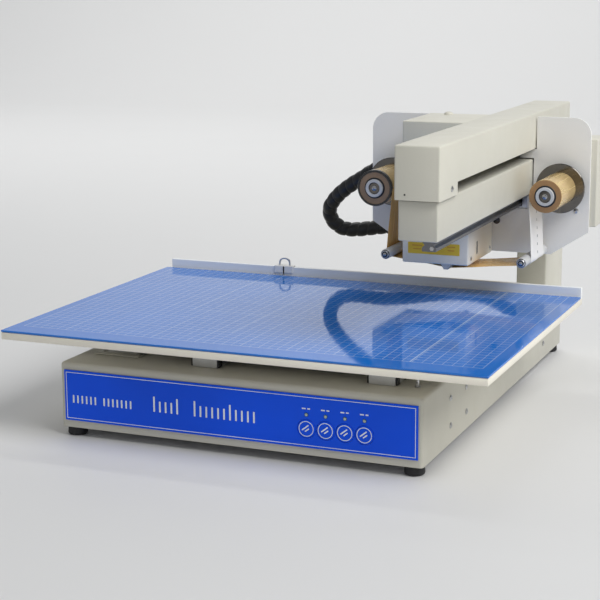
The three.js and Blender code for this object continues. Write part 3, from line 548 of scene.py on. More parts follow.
# ---------- the frame's own pieces ----------
SOFT_EDGES = {
    "carriage_plate": 0.0005, "bed_plate": 0.0006, "bed_sheet": 0.0003, "rear_fence": 0.0006,
    "front_panel": 0.0002, "power_supply": 0.0006, "power_entry": 0.0004, "power_rocker": 0.0004,
    "head_cover": 0.0004, "thermal_head": 0.0003, "press_crosshead": 0.0003, "carriage_block": 0.0005,
    "bed_rail_front": 0.0003, "bed_rail_rear": 0.0003, "bed_belt_clamp": 0.0004, "button_board": 0.0002,
    "control_board": 0.0002, "base_bottom_plate": 0.0003,
}
CORNERS = [f"{end}_{side}" for end in ("front", "rear") for side in ("left", "right")]
SOFT_EDGES.update({f"guide_block_{corner}": 0.0005 for corner in CORNERS})
WELD_WITHIN = 0.00002
HARD_ANGLE = 32  # degrees, above which an edge stays hard


def dress_nodes():
    """Every CAD node gets its slot's material and either small rounded edges or clean hard ones."""
    slots = {part["node"]: part["material_slot"] for part in frame["record"]["subparts"]}
    for name, obj in frame["nodes"].items():
        obj.data.materials.clear()
        obj.data.materials.append(OTHER_LOOKS.get(name, LOOKS[slots[name]]))
        if "custom_normal" in obj.data.attributes:
            obj.data.attributes.remove(obj.data.attributes["custom_normal"])
        weld = obj.modifiers.new("weld", "WELD")
        weld.merge_threshold = WELD_WITHIN
        obj.data.polygons.foreach_set("use_smooth", [True] * len(obj.data.polygons))
        if name in SOFT_EDGES:
            bevelled(obj, SOFT_EDGES[name])
        else:
            split = obj.modifiers.new("edges", "EDGE_SPLIT")
            split.split_angle = math.radians(HARD_ANGLE)


# ---------- hose ----------
HOSE_DIAMETER = 0.0184
HOSE_STEPS = 22  # between two points of the route
WRAP_PITCH = 0.0125
WRAP_GROOVE = 0.0007
HOSE_ROUTE = [
    (4.6, 152, 243), (-5, 152, 243), (-17.8, 153, 237), (-30, 155, 229.3), (-43, 158, 221.6),
    (-55, 161.5, 213.6), (-66.5, 165.5, 204.4), (-75.6, 169.5, 194.6), (-80.6, 173, 187), (-82.2, 177, 179),
    (-80.7, 180.5, 171.1), (-76, 184, 164.2), (-69.1, 187, 159.5), (-60.5, 190, 157.8), (-50, 193, 157.9),
    (-38, 196.5, 159.2), (-18.2, 204, 161.3), (6, 216, 160.5), (33, 232, 158.5), (62, 248, 157.5),
    (92, 258, 160.5), (114, 256, 166), (128, 250, 170.5), (141, 245.5, 172), (151.2, 245.5, 172),
]


def smooth_path(points, steps):
    """A centripetal Catmull-Rom curve through the points."""
    points = [Vector(p) * MM for p in points]
    points = [points[0] * 2 - points[1], *points, points[-1] * 2 - points[-2]]
    path = []
    for p0, p1, p2, p3 in zip(points, points[1:], points[2:], points[3:]):
        d0, d1, d2 = (max((b - a).length ** 0.5, 1e-6) for a, b in ((p0, p1), (p1, p2), (p2, p3)))
        t1 = ((p1 - p0) / d0 - (p2 - p0) / (d0 + d1) + (p2 - p1) / d1) * d1
        t2 = ((p2 - p1) / d1 - (p3 - p1) / (d1 + d2) + (p3 - p2) / d2) * d1
        for i in range(steps):
            t = i / steps
            square = p1 * -3 + p2 * 3 - t1 * 2 - t2
            cube = p1 * 2 - p2 * 2 + t1 + t2
            path.append(p1 + t1 * t + square * t * t + cube * t * t * t)
    path.append(points[-2])
    return path


def sweep_frames(path):
    """(point, side, up) along a path, turned as little as possible from step to step."""
    frames = []
    side = Vector((0, 1, 0))
    for i, p in enumerate(path):
        ahead = (path[min(i + 1, len(path) - 1)] - path[max(i - 1, 0)]).normalized()
        side = (side - ahead * side.dot(ahead)).normalized()
        frames.append((p, side, ahead.cross(side)))
    return frames


def make_hose():
    """A bundle of leads in a spiral wrap, from the carriage's rear housing round to the column."""
    path = smooth_path(HOSE_ROUTE, HOSE_STEPS)
    sides = 36
    bm = bmesh.new()
    rings = []
    length = 0.0
    for i, (p, side, up) in enumerate(sweep_frames(path)):
        length += (p - path[i - 1]).length if i else 0.0
        ring = []
        for k in range(sides):
            a = 2 * math.pi * k / sides
            phase = (length / WRAP_PITCH + k / sides) % 1.0
            dip = max(0.0, 1 - abs(phase - 0.5) / 0.11)
            crown = 0.00025 * math.cos(2 * math.pi * phase)
            r = HOSE_DIAMETER / 2 - 0.0002 + crown - WRAP_GROOVE * min(1.0, dip * 1.6)
            ring.append(bm.verts.new(p + side * (r * math.cos(a)) + up * (r * math.sin(a))))
        rings.append(ring)
    skin(bm, rings)
    hose = piece("hose", bm, LOOKS["hose_sleeve"], None, angle=60)
    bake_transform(hose)
    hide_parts("carriage_hose")

    gland = [
        (0, 0.0), (13.5, 0.0), (13.5, 3.2), (11.9, 3.9), (11.9, 9),
        (10.3, 12.2), (9.5, 12.2), (9.5, 1), (0, 1),
    ]
    grommet = [(9.6, 0), (13, 0), (13, 2.4), (11.2, 4), (9.6, 4), (9.6, 0)]
    for name, outline, end, body in (
        ("hose_gland", gland, path[0], "carriage"), ("hose_grommet", grommet, path[-1], "base"),
    ):
        profile = [(r * MM, h * MM) for r, h in outline]
        at = end + Vector((0.0002, 0, 0))
        turned(name, profile, at, LEFT, 36, SEAL, body, 0.0003)


# ---------- base ----------
def make_feet():
    for corner in CORNERS:
        node = f"foot_{corner}"
        low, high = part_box(node)
        at = ((low.x + high.x) / 2, (low.y + high.y) / 2, low.z)
        outer = (high.x - low.x) / 2
        profile = [
            (0.0, 0.0012), (0.0028, 0.0012), (0.0032, 0.0), (outer - 0.0022, 0.0), (outer - 0.0006, 0.0008),
            (outer, 0.0024), (outer - 0.0004, 0.0066), (outer - 0.0012, 0.0097), (0.0, 0.0097),
        ]
        foot = turned(f"rubber_{node}", profile, at, UP, 48, LOOKS["rubber"], "base", 0.0003)
        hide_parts(node)
        turned(f"screw_{node}", disc(0.0026, 0.0009, 0.0013), at, UP, 24, SCREW, "base")


BASE_SCREW_R = 0.0032
BASE_SIDE_SCREWS = [  # y and z
    (-0.181, 0.058), (-0.180, 0.029), (-0.127, 0.056), (-0.125, 0.029), (0.200, 0.058), (0.200, 0.029),
]
LOUVRES, LOUVRE_X, LOUVRE_PITCH, LOUVRE_W = 14, 0.020, 0.010, 0.005
STOP_POST_XY = (0.171, -0.232)


def make_base_details():
    low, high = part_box("base_shell")
    for name, x, way in (("right", high.x, RIGHT), ("left", low.x, LEFT)):
        places = [(x - way[0] * SINK, y, z) for y, z in BASE_SIDE_SCREWS]
        screws(f"base_screws_{name}", places, way, BASE_SCREW_R, "base")
    places = [(x, high.y - SINK, z) for x in (low.x + 0.014, high.x - 0.014) for z in (0.022, 0.068)]
    screws("base_screws_back", places, BACK, BASE_SCREW_R, "base")
    # vents across the back, as raised louvres
    bm = bmesh.new()
    section = [(0, 0.028), (0.0, 0.058), (0.0024, 0.0565), (0.0024, 0.0295)]
    for i in range(LOUVRES):
        add_prism(bm, section, BACK, UP, (LOUVRE_X + i * LOUVRE_PITCH, high.y - 0.0002, 0), LOUVRE_W)
    piece("rear_louvres", bm, OTHER_LOOKS["base_shell"], "base", 0.0006)
    # a stop post and a home pad for the bed, on the cover's top
    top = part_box("guide_block_front_right")[0].z
    post = [
        (0, 0), (0.0030, 0), (0.0030, 0.0012), (0.0016, 0.0016), (0.0016, 0.0105), (0.0010, 0.0112),
        (0, 0.0112),
    ]
    turned("travel_stop_post", post, (*STOP_POST_XY, top), UP, 32, SCREW, "base", 0.0002)
    bm = bmesh.new()
    pad_top = top + 0.0016
    add_block(bm, (-0.193, -0.228, top), (-0.141, -0.205, pad_top), 0.0006)
    for x in (-0.186, -0.148):
        add_screw(bm, (x, -0.2165, pad_top), UP, 0.0026)
    piece("bed_home_pad", bm, OTHER_LOOKS["base_shell"], "base")


PRINT_THICK = 0.00012
LAMP_Z = 0.0518
LAMP_MARKS = (0.0042, 0.0030)  # widths of the strokes over each lamp
BUTTON_MARKS = (0.0088, 0.0054)  # lengths of the strokes on each button
BUTTON_BODIES = {
    "button_cancel": "cancel_button", "button_test": "test_button",
    "button_line_feed": "line_feed_button", "button_start": "start_button",
}
UPRIGHT_FOOT = 0.0372
TALL, MEDIUM, SHORT = 0.0162, 0.0115, 0.0085
UPRIGHTS = [  # where a row starts, its pitch, the strokes' thickness and their heights
    (-0.100, 0.0066, 0.0019, [TALL, *[MEDIUM] * 3, TALL, 0, 0, TALL, *[MEDIUM] * 5, TALL, *[MEDIUM] * 4]),
    (-0.195, 0.0052, 0.0018, [SHORT] * 6 + [0] + [SHORT] * 7),
]


def bar_mark(bm, x, z, width, height, y, turn=0.0):
    """A printed stroke: a flat rounded bar, turned about its middle."""
    radius = min(width, height) * 0.3
    c, s = math.cos(turn), math.sin(turn)
    points = [(x + a * c - b * s, z + a * s + b * c) for a, b in rounded(width, height, radius, 3)]
    add_prism(bm, points, RIGHT, UP, (0, y, 0), PRINT_THICK)


def make_front_panel():
    """Print on the overlay: a border line and plain strokes in place of wording, then the buttons."""
    low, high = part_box("front_panel")
    face = low.y
    bm = bmesh.new()
    inset, line = 0.0022, 0.0006
    x0, x1, z0, z1 = low.x + inset, high.x - inset, low.z + inset, high.z - inset
    for a0, a1, b0, b1 in (
        (x0, x1, z1 - line, z1), (x0, x1, z0, z0 + line), (x0, x0 + line, z0 + line, z1 - line),
        (x1 - line, x1, z0 + line, z1 - line),
    ):
        add_block(bm, (a0, face - PRINT_THICK, b0), (a1, face, b1))
    for start, pitch, thick, heights in UPRIGHTS:
        for k, tall in enumerate(heights):
            if tall:
                bar_mark(bm, start + k * pitch, UPRIGHT_FOOT + tall / 2, thick, tall, face)
    for node in BUTTON_BODIES:
        x = axis_of(node)[0].x
        for j, width in enumerate(LAMP_MARKS):
            bar_mark(bm, x - 0.0026 + j * 0.0052, LAMP_Z + 0.0062, width, 0.0013, face)
    piece("panel_print", bm, INK, "base")
    for node, body in BUTTON_BODIES.items():
        make_button(node, body, face)


def make_button(node, body, panel_face):
    """A domed cap with a printed ring and two slanting strokes, and the small lamp over it."""
    middle, low, high = axis_of(node)
    x, z, crown = middle.x, middle.z, low.y
    outer = (high.x - low.x) / 2
    depth = high.y - crown
    profile = [
        (0, 0), (outer - 0.0018, 0), (outer - 0.0009, 0.0001), (outer - 0.0003, 0.0004), (outer, 0.0009),
        (outer, depth), (0, depth),
    ]
    cap = turned(f"cap_{node}", profile, (x, crown, z), BACK, 64, LOOKS["panel_film"], body)
    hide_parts(node)
    bm = bmesh.new()
    add_turned(bm, washer(outer - 0.0024, outer - 0.0017, PRINT_THICK), (x, crown, z), FRONT, 64)
    tilt = math.radians(38)
    for j, width in enumerate(BUTTON_MARKS):
        shift = (0.5 - j) * 0.0030
        at_x, at_z = x - shift * math.sin(tilt), z + shift * math.cos(tilt)
        bar_mark(bm, at_x, at_z, width, 0.0013, crown, turn=tilt)
    piece(f"print_{node}", bm, INK, body)
    lens = [
        (0, -0.0007), (0.0009, -0.00055), (0.0015, -0.0002), (0.0017, 0.0002), (0.0017, 0.0012), (0, 0.0012),
    ]
    at = (x, panel_face - 0.0002, LAMP_Z)
    turned(f"lamp_{node}", lens, at, BACK, 32, LENS, "base")


# ---------- bed ----------
def spaced(low, high, inset, count):
    """Evenly spaced places between two ends."""
    return [low + inset + (high - low - 2 * inset) * i / (count - 1) for i in range(count)]


def plugs(name, places, radius, body):
    """Thin round caps pressed up into a rail's screw holes."""
    bm = bmesh.new()
    for at in places:
        add_turned(bm, disc(radius, 0.0003), at, DOWN, 24)
    piece(name, bm, SCREW, body)


def make_bed_details():
    for end in ("front", "rear"):
        middle, low, high = axis_of(f"bed_rail_{end}")
        places = [(x, middle.y, low.z) for x in spaced(low.x, high.x, 0.03, 9)]
        plugs(f"rail_plugs_{end}", places, 0.0044, "bed")
        for side in ("left", "right"):
            make_block_details(f"{end}_{side}")
    low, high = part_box("rear_fence")
    places = [(x, high.y - SINK, 0.1195) for x in spaced(low.x, high.x, 0.025, 8)]
    screws("fence_screws", places, BACK, 0.0021, "bed")


def make_block_details(place):
    """Rubber wipers at both ends of a guide block, and its four screws."""
    low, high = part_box(f"guide_block_{place}")
    bm = bmesh.new()
    for x, way in ((low.x, -1), (high.x, 1)):
        near, far = sorted((x + way * 0.0001, x + way * 0.0017))
        for y0, y1 in ((low.y + 0.0008, low.y + 0.0095), (high.y - 0.0095, high.y - 0.0008)):
            add_block(bm, (near, y0, low.z + 0.0006), (far, y1, high.z - 0.0006), 0.0004)
    piece(f"block_wipers_{place}", bm, SEAL, "base")
    xs = (low.x + 0.006, high.x - 0.006)
    ys = (low.y + 0.0048, high.y - 0.0048)
    places = [(x, y, high.z - SINK) for x in xs for y in ys]
    screws(f"block_screws_{place}", places, UP, 0.0022, "base", DARK_SCREW)


def make_fence_stop():
    """A sprung clip that straddles the fence, with an arched finger loop and a dark pointer."""
    low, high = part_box("fence_stop")
    f0, f1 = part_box("rear_fence")
    x = (low.x + high.x) / 2
    half = (high.x - low.x) / 2
    thick, gap, foot = 0.0014, 0.0003, 0.1182
    front, back, top = f0.y - gap, f1.y + gap, f1.z + gap
    soft = thick * 0.6
    profile = [
        (front - thick, foot), (front, foot), (front, top), (back, top), (back, foot), (back + thick, foot),
        (back + thick, top + thick - soft), (back + thick - soft, top + thick),
        (front - thick + soft, top + thick), (front - thick, top + thick - soft),
    ]
    bm = bmesh.new()
    add_prism(bm, profile, BACK, UP, (x - half, 0, 0), half * 2)
    clip = piece("stop_clip", bm, LOOKS["pale_paint"], "fence_stop", 0.0003)
    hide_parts("fence_stop")

    # the loop: an arch with an open middle, standing on the saddle
    middle_y = (front + back) / 2
    spring_z = top + thick - 0.0002
    rise = high.z - spring_z
    wire = 0.0016
    outer = half * 0.62
    bm = bmesh.new()
    steps = 24
    rings = []
    for i in range(steps + 1):
        a = math.pi * i / steps
        rise_share = min(1.0, math.sin(a) ** 0.55) if 0 < i < steps else 0.0
        ring = []
        for trim, dy in ((0.0, -0.0011), (0.0, 0.0011), (wire, 0.0011), (wire, -0.0011)):
            lift = (rise - trim) * rise_share
            ring.append(bm.verts.new((x + (outer - trim) * math.cos(a), middle_y + dy, spring_z + lift)))
        rings.append(ring)
    skin(bm, rings)
    piece("stop_loop", bm, LOOKS["steel"], "fence_stop", 0.0002, angle=50)

    bm = bmesh.new()
    pointer = [(-0.0008, 0), (0, -0.0030), (0.0008, 0), (0.0008, 0.0075), (-0.0008, 0.0075)]
    pointer = [(x + a, 0.1185 + b) for a, b in pointer]
    add_prism(bm, pointer, RIGHT, UP, (0, front - thick, 0), 0.0004)
    piece("stop_pointer", bm, SEAL, "fence_stop")


# ---------- arm ----------
COVER_SCREW_YS = (-0.200, 0.215, 0.275)
COVER_SCREW_R = 0.0030


def make_arm_details():
    c0, c1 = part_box("arm_cover")
    for name, x, way in (("right", c1.x, RIGHT), ("left", c0.x, LEFT)):
        places = [(x - way[0] * SINK, y, 0.2724) for y in COVER_SCREW_YS]
        screws(f"cover_screws_{name}", places, way, COVER_SCREW_R, "base")
    places = [(x, c1.y - SINK, 0.291) for x in (c0.x + 0.010, c1.x - 0.010)]
    screws("cover_screws_back", places, BACK, COVER_SCREW_R, "base")
    # a moulded plug closes the open end of the beam: a spigot inside it, and a cap over its wall
    b0, b1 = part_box("arm_beam")
    back = b1.y
    inset, lip = 0.0029, 0.0006
    bm = bmesh.new()
    spigot_back = (b1.x - inset, back + SINK, b1.z - inset)
    add_block(bm, (b0.x + inset, back - 0.008, b0.z + inset), spigot_back, 0.0004)
    cap_back = (b1.x - lip, back + 0.0016, b1.z - lip)
    add_block(bm, (b0.x + lip, back, b0.z + lip), cap_back, 0.0007, 3)
    piece("beam_plug", bm, SEAL, "base")
    # a thin dark disc stands for the small hole in the cover's front: painted shade inside the hole
    hole = disc(0.0009, 0.0003, 0.0001)
    turned("cover_hole", hole, (0.158, c0.y + 0.0002, 0.270), FRONT, 32, SEAL, "base")
    make_arm_rail()
    # bolts that hold the column to the base
    k0, k1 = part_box("column")
    places = [(x, k1.y - SINK, k0.z + z) for x in (k0.x + 0.006, k1.x - 0.006) for z in (0.02, 0.10)]
    screws("column_screws", places, BACK, 0.0035, "base")


def make_arm_rail():
    """A ground bar with a groove down each side, capped screw holes and a bolt in its end."""
    middle, low, high = axis_of("arm_rail")
    x, w, h = middle.x, (high.x - low.x) / 2, high.z - low.z
    half = [
        (w - 0.0008, -h), (w, -h + 0.0008), (w, -h * 0.76), (w - 0.0010, -h * 0.70), (w - 0.0024, -h * 0.60),
        (w - 0.0024, -h * 0.54), (w - 0.0010, -h * 0.44), (w, -h * 0.38), (w, 0),
    ]
    outline = half + [(-a, b) for a, b in reversed(half)]
    bm = bmesh.new()
    add_prism(bm, [(x + a, high.z + b) for a, b in outline], RIGHT, UP, (0, high.y, 0), high.y - low.y)
    rail = piece("guide_rail", bm, LOOKS["dark_steel"], "base", 0.0002)
    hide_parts("arm_rail")
    places = [(x, y, low.z) for y in spaced(low.y, high.y, 0.022, 7)]
    plugs("guide_rail_plugs", places, 0.0038, "base")
    bolt = [(0, 0), (0.0021, 0), (0.0023, 0.0003), (0.0023, 0.0012), (0, 0.0012)]
    at = (x + w * 0.42, low.y + SINK, high.z - h * 0.78)
    turned("guide_rail_end_bolt", bolt, at, FRONT, 6, SCREW, "base")


# ---------- carriage ----------
END_TONES = {"left": (0.36, 0.25, 0.17), "right": (0.52, 0.30, 0.14)}
CORE_R = 0.0105
CLAMP_INNER_R = 0.0184
SPOOL_SHAFT_END = 0.1220


def make_spools():
    for side in ("left", "right"):
        make_roll(side, f"{side}_spool")
        make_hub(side, f"{side}_spool")


def make_roll(side, body):
    """The wound foil, slightly uneven at its end, with its ringed face and the take-up side's clamp ring."""
    middle, low, high = axis_of(f"{side}_foil_roll")
    x, z, front = middle.x, middle.z, low.y
    outer = (high.x - low.x) / 2
    length = high.y - front
    steps = 14
    rng = random.Random(5)
    end = []
    for i in range(steps + 1):
        end.append((CORE_R + (outer - CORE_R) * i / steps, rng.uniform(0, 0.0003)))
    end[-1] = (outer, 0.0003)
    side_line = [(outer, length * share) for share in (0.02, 0.35, 0.7, 0.995)]
    profile = [*end, *side_line, (CORE_R, length - 0.0002), (CORE_R, end[0][1])]
    roll = turned(f"{side}_roll", profile, (x, front, z), BACK, 96, LOOKS["foil"], body, angle=50)
    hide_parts(f"{side}_foil_roll")
    face_look = ringed_end(f"{side}_roll_end", END_TONES[side], (x, 0, z))
    face_r = CLAMP_INNER_R if side == "left" else outer - 0.0004
    face = washer(CORE_R + 0.0004, face_r, 0.0004)
    turned(f"{side}_roll_layers", face, (x, front - 0.0005, z), BACK, 96, face_look, body)
    if side == "left":
        clamp = [
            (CLAMP_INNER_R, 0), (0.0205, 0), (0.0209, 0.0005), (0.0209, 0.0050), (0.0206, 0.0052),
            (0.0206, 0.0016), (CLAMP_INNER_R, 0.0012), (CLAMP_INNER_R, 0),
        ]
        black = LOOKS["black_plastic"]
        at = (x, front - 0.0014, z)
        turned("left_clamp_ring", clamp, at, BACK, 96, black, body, 0.0002)


def make_hub(side, body):
    """A tube with a recessed nose and a wide polished flange, its rings and screw, and its bearing."""
    middle, roll_low, roll_high = axis_of(f"{side}_foil_roll")
    hub_low, hub_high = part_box(f"{side}_spool_hub")
    x, z = middle.x, middle.z
    flange = (hub_high.x - hub_low.x) / 2
    flange_y = roll_high.y + 0.0003
    nose = hub_low.y
    lip = nose + 0.0027
    profile = [
        (0, nose + 0.0020), (0.0060, nose + 0.0020), (0.0068, lip), (CORE_R, lip), (CORE_R, flange_y),
        (flange - 0.0006, flange_y), (flange, flange_y + 0.0006), (flange, flange_y + 0.0024),
        (flange - 0.0006, flange_y + 0.0030), (0.0070, flange_y + 0.0030), (0.0070, SPOOL_SHAFT_END),
        (0.0040, SPOOL_SHAFT_END), (0.0040, hub_high.y), (0, hub_high.y),
    ]
    hub = turned(f"{side}_hub", profile, (x, 0, z), BACK, 96, CHROME, body, 0.0002)
    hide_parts(f"{side}_spool_hub")
    ring = [(0.0070, 0), (0.0100, 0), (0.0103, 0.0004), (0.0103, 0.0030), (0.0070, 0.0030), (0.0070, 0)]
    white = LOOKS["white_plastic"]
    at = (x, nose + 0.0002, z)
    turned(f"{side}_core_ring", ring, at, BACK, 64, white, body, 0.0002)
    inner = CORE_R - 0.0001
    collar = [(inner, 0), (0.0119, 0), (0.0122, 0.0004), (0.0122, 0.0016), (inner, 0.0016), (inner, 0)]
    at = (x, roll_low.y - 0.0012, z)
    turned(f"{side}_core_collar", collar, at, BACK, 64, SEAL, body)
    screws(f"{side}_hub_screw", [(x, nose + 0.0021, z)], FRONT, 0.0029, body)
    boss = [(0.0074, 0), (0.0105, 0), (0.0110, 0.0005), (0.0110, 0.0022), (0.0074, 0.0022), (0.0074, 0)]
    at = (x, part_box("carriage_plate")[0].y - 0.0021, z)
    turned(f"{side}_bearing", boss, at, BACK, 48, LOOKS["steel"], "carriage")


def make_rollers():
    for side in ("left", "right"):
        mid, low, high = axis_of(f"{side}_guide_roller")
        outer = (high.x - low.x) / 2
        length = high.y - low.y
        tube = [
            (0.0028, 0), (outer - 0.0006, 0), (outer, 0.0006), (outer, length - 0.0006),
            (outer - 0.0006, length), (0.0028, length), (0.0028, 0),
        ]
        at = (mid.x, low.y, mid.z)
        white = LOOKS["white_plastic"]
        roller = turned(f"{side}_roller", tube, at, BACK, 64, white, f"{side}_guide")
        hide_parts(f"{side}_guide_roller")
        s_mid, s_low, s_high = axis_of(f"{side}_guide_spindle")
        reach = s_high.y - s_low.y
        collar = reach - 0.0037
        rod = [
            (0, 0.0002), (0.0015, 0.0002), (0.0019, 0.0), (0.0038, 0.0), (0.0044, 0.0005), (0.0044, 0.0017),
            (0.0025, 0.0019), (0.0025, collar), (0.0045, collar), (0.0045, reach), (0, reach),
        ]
        at = (s_mid.x, s_low.y, s_mid.z)
        spindle = turned(f"{side}_spindle", rod, at, BACK, 48, LOOKS["steel"], "carriage")
        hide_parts(f"{side}_guide_spindle")
        at = (s_mid.x, s_low.y - 0.0002, s_mid.z)
        end = disc(0.0034, 0.0004)
        turned(f"{side}_spindle_end", end, at, BACK, 32, SEAL, "carriage")
        screws(f"{side}_spindle_screw", [at], FRONT, 0.0021, "carriage")
        cap = [(0.0026, 0), (0.0047, 0), (0.0050, 0.0003), (0.0050, 0.0007), (0.0026, 0.0007), (0.0026, 0)]
        at = (mid.x, low.y - 0.0008, mid.z)
        turned(f"{side}_roller_cap", cap, at, BACK, 48, SEAL, "carriage")


FILM_THICK = 0.00015
TIP_HALF = 0.0045  # half the width of the heated edge


def ribbon(name, path, y0, y1, look, wave, seed, give=None):
    """A thin film along a path in x and z, between two depths, with a slight ripple across it.

    It rides on the carriage, or, when give is given, on no body, with its placing baked into the mesh.
    """
    columns = 12
    bm = bmesh.new()
    grid = []
    for i, (x, z) in enumerate(path):
        before, after = path[max(i - 1, 0)], path[min(i + 1, len(path) - 1)]
        dx, dz = after[0] - before[0], after[1] - before[1]
        size = math.hypot(dx, dz)
        nx, nz = -dz / size, dx / size
        row = []
        for k in range(columns + 1):
            y = y0 + (y1 - y0) * k / columns
            lift = wave * math.sin(k * 0.9 + i * 0.55 + seed) * math.sin(math.pi * i / (len(path) - 1))
            far = lift + FILM_THICK
            under = bm.verts.new((x + nx * lift, y, z + nz * lift))
            row.append((under, bm.verts.new((x + nx * far, y, z + nz * far))))
        grid.append(row)
    for a, b in zip(grid, grid[1:]):
        for k in range(columns):
            for face in (0, 1):
                quad = [a[k][face], a[k + 1][face], b[k + 1][face], b[k][face]]
                bm.faces.new(quad if face else quad[::-1])
    for row in (grid[0], grid[-1]):
        for k in range(columns):
            bm.faces.new([row[k][0], row[k + 1][0], row[k + 1][1], row[k][1]])
    for a, b in zip(grid, grid[1:]):
        for k in (0, columns):
            bm.faces.new([a[k][0], b[k][0], b[k][1], a[k][1]])
    film = piece(name, bm, look, None if give else "carriage", angle=50)
    if give:
        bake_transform(film)
    return film


def make_foil():
    """The film from the new roll under the right guide, past the heated edge and round the left guide."""
    w0, w1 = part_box("foil_web")
    y0, y1 = w0.y, w1.y
    tip_mid, tip_low, _ = axis_of("thermal_head")
    left, left_low, left_high = axis_of("left_guide_roller")
    right = axis_of("right_guide_roller")[0]
    radius = (left_high.x - left_low.x) / 2 + 0.0004
    left_roll, _, left_roll_high = axis_of("left_foil_roll")
    right_roll, right_roll_low, _ = axis_of("right_foil_roll")
    tip_z = tip_low.z - 0.0005

    def round_guide(centre, start, end, steps=8):
        return [
            (centre.x + radius * math.cos(a), centre.z + radius * math.sin(a))
            for a in (math.radians(start + (end - start) * i / steps) for i in range(steps + 1))
        ]

    def run(a, b, steps):
        return [(a[0] + (b[0] - a[0]) * i / steps, a[1] + (b[1] - a[1]) * i / steps) for i in range(1, steps)]

    top_left = (left_roll_high.x + 0.0004, left_roll.z)
    under_left = round_guide(left, 180, 262)
    tip_left = (tip_mid.x - TIP_HALF, tip_z)
    tip_right = (tip_mid.x + TIP_HALF, tip_z)
    under_right = round_guide(right, 278, 360)
    top_right = (right_roll_low.x - 0.0004, right_roll.z)
    down = [top_left, *run(top_left, under_left[0], 10), *under_left]
    first = ribbon("foil_take_up", down, y0, y1, STRIP, 0.00025, 1)
    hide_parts("foil_web")
    used = [under_left[-1], *run(under_left[-1], tip_left, 16), tip_left, tip_right]
    give = ((under_left[-1][0], 0, 0), (tip_left[0], 0, 0))
    ribbon("foil_used", used, y0, y1, STRIP, 0.0002, 2, give)
    supply = [tip_right, *run(tip_right, under_right[0], 16), under_right[0]]
    give = ((under_right[0][0], 0, 0), (tip_right[0], 0, 0))
    ribbon("foil_supply", supply, y0, y1, STRIP, 0.0002, 3, give)
    up = [*under_right, *run(under_right[-1], top_right, 10), top_right]
    ribbon("foil_rising", up, y0, y1, BACKING, 0.0003, 4)


VENTS, VENT_PITCH, VENT_FOOT, VENT_HALF = 6, 0.006, 0.035, 0.016
HOUSING_SCREW_R = 0.0026


def make_carriage_details():
    plate_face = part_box("carriage_plate")[0].y + SINK
    screws("plate_screw", [(0.2426, plate_face, 0.207)], FRONT, 0.0029, "carriage")
    screws("block_bolts", [(0.149, plate_face, 0.191)], FRONT, 0.0042, "carriage", DARK_SCREW)
    low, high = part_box("press_housing")
    dome = [
        (0, 0), (0.0052, 0), (0.0052, 0.0006), (0.0047, 0.0018), (0.0034, 0.0028), (0.0016, 0.0033),
        (0, 0.0034),
    ]
    cream = LOOKS["cream_paint"]
    turned("press_top_cap", dome, (0.092, 0.112, high.z - SINK), UP, 32, cream, "carriage")
    places = [(low.x + SINK, y, z) for y in (0.035, 0.110) for z in (0.246, 0.303)]
    screws("press_side_screws", places, LEFT, HOUSING_SCREW_R, "carriage")
    for side in ("left", "right"):
        make_rear_housing_details(side)
    # a seal on the back end of the block that runs on the rail
    low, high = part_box("carriage_block")
    bm = bmesh.new()
    add_block(
        bm, (low.x + 0.0006, high.y + 0.0001, low.z + 0.0006),
        (high.x - 0.0006, high.y + 0.0018, low.z + 0.0075), 0.0004,
    )
    piece("carriage_block_seal", bm, SEAL, "carriage")


def make_rear_housing_details(side):
    """Cover screws at the corners and a vent of short slots, drawn as dark bars: painted shade inside the
    slots.
    """
    middle, low, high = axis_of(f"{side}_rear_housing")
    back = high.y - SINK
    xs, zs = (low.x + 0.008, high.x - 0.008), (low.z + 0.010, high.z - 0.010)
    places = [(x, back, z) for x in xs for z in zs]
    screws(f"{side}_housing_screws", places, BACK, HOUSING_SCREW_R, "carriage")
    # dark bars for the vent slots: painted shade inside them
    bm = bmesh.new()
    x0, x1 = middle.x - VENT_HALF, middle.x + VENT_HALF
    for i in range(VENTS):
        z = low.z + VENT_FOOT + i * VENT_PITCH
        add_block(bm, (x0, back - 0.0002, z), (x1, back + 0.0005, z + 0.0022), 0.0003)
    piece(f"{side}_housing_vents", bm, SEAL, "carriage")


LABEL_X, LABEL_Z, LABEL_W, LABEL_H = 0.1035, 0.1705, 0.061, 0.013
LABEL_STROKES = [(0.084, 0.012), (0.103, 0.018), (0.124, 0.010)]  # middle and length


def make_head_details():
    low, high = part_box("head_cover")
    face = low.y
    bm = bmesh.new()
    outline = [(LABEL_X + a, LABEL_Z + b) for a, b in rounded(LABEL_W, LABEL_H, 0.001, 3)]
    add_prism(bm, outline, RIGHT, UP, (0, face + 0.00005, 0), 0.0003)
    piece("head_label", bm, LABEL, "head")
    bm = bmesh.new()
    for x, width in LABEL_STROKES:
        bar_mark(bm, x, LABEL_Z + 0.0030, width, 0.0012, face - 0.00025)
        bar_mark(bm, x, LABEL_Z - 0.0010, width * 0.8, 0.0012, face - 0.00025)
    piece("head_label_print", bm, LABEL_INK, "head")
    # a dark block behind the slot in the head's right side: painted shade inside the slot
    bm = bmesh.new()
    add_block(bm, (high.x - 0.0018, 0.0583, 0.1613), (high.x - 0.0008, 0.0637, 0.1757))
    piece("head_slot_back", bm, SEAL, "head")
    places = [(high.x - SINK, y, z) for y in (0.036, 0.112) for z in (0.160, 0.199)]
    screws("head_side_screws", places, RIGHT, 0.0024, "head")
    places = [(x, face + SINK, 0.198) for x in (low.x + 0.007, high.x - 0.007)]
    screws("head_front_screws", places, FRONT, 0.0024, "head")


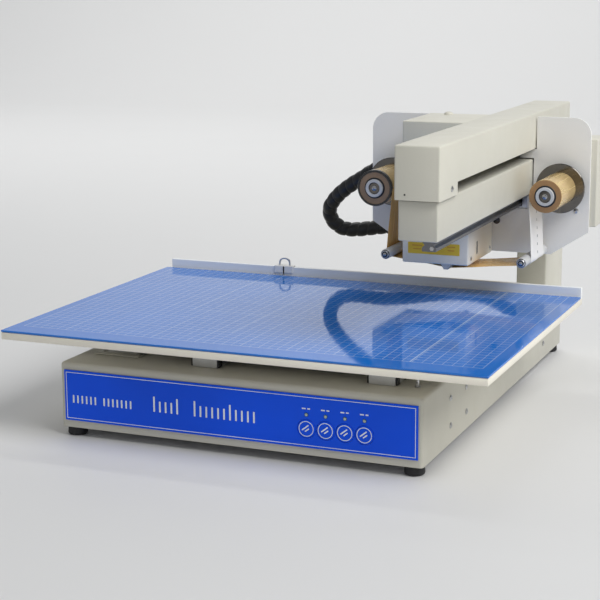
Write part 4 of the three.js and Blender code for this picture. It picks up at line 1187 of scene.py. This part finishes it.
# ---------- studio ----------
LIGHTS = [  # name, place, what it faces, width and height, and radiance
    ("key", (2.3, -0.75, 2.6), (0.05, 0, 0.15), (2.0, 2.0), 7.2),
    ("backdrop_wash", (-1.6, 1.6, 3.4), (-1.8, 4.6, 0.9), (3.4, 1.4), 7.0),
    ("front_fill", (-0.9, -3.4, 1.3), (0, 0, 0.15), (2.4, 1.6), 0.25),
]
SKY, SKY_STRENGTH = (0.95, 0.97, 1.0), 0.30


def area_light(name, at, target, size, radiance):
    lamp = bpy.data.lights.new(name, "AREA")
    lamp.shape = "RECTANGLE"
    lamp.size, lamp.size_y = size
    lamp.energy = radiance * math.pi * size[0] * size[1]
    obj = bpy.data.objects.new(name, lamp)
    obj.location = at
    obj.rotation_mode = "QUATERNION"
    obj.rotation_quaternion = (Vector(target) - Vector(at)).to_track_quat("-Z", "Y")
    obj.visible_camera = False
    bpy.context.scene.collection.objects.link(obj)


def make_backdrop():
    """A pale floor that sweeps up behind the machine, with no line where it turns."""
    half, turn_y, radius, height, edge = 16.0, 3.2, 2.0, 7.0, -12.0
    level = CAD_BOX[0].z - 0.0001
    line = [(edge, level), (-2.0, level), (2.0, level)]
    for i in range(17):
        a = math.pi / 2 * i / 16
        line.append((turn_y + radius * math.sin(a), level + radius * (1 - math.cos(a))))
    line.append((turn_y + radius, height))
    bm = bmesh.new()
    rows = [[bm.verts.new((x, y, z)) for x in (-half, -3, 3, half)] for y, z in line]
    for a, b in zip(rows, rows[1:]):
        for left in range(3):
            bm.faces.new([a[left], a[left + 1], b[left + 1], b[left]])
    mesh = bpy.data.meshes.new("backdrop")
    bm.to_mesh(mesh)
    bm.free()
    smoothed(mesh, 40)
    look = Look("backdrop", (0.75, 0.75, 0.745), 0.6)
    look.feed("Roughness", look.spread(look.noise(3, 3), 0.55, 0.68))
    mesh.materials.append(look.material)
    backdrop = bpy.data.objects.new("backdrop", mesh)
    bpy.context.scene.collection.objects.link(backdrop)


def make_studio():
    world = bpy.data.worlds.new("studio")
    bpy.context.scene.world = world
    world.use_nodes = True
    background = world.node_tree.nodes["Background"]
    background.inputs["Color"].default_value = (*SKY, 1)
    background.inputs["Strength"].default_value = SKY_STRENGTH
    for light in LIGHTS:
        area_light(*light)
    make_backdrop()
    bpy.context.scene.view_settings.view_transform = "Standard"


make_camera()
make_hose()
dress_nodes()
make_feet()
make_base_details()
make_front_panel()
make_bed_details()
make_fence_stop()
make_arm_details()
make_spools()
make_rollers()
make_foil()
make_carriage_details()
make_head_details()
make_studio()
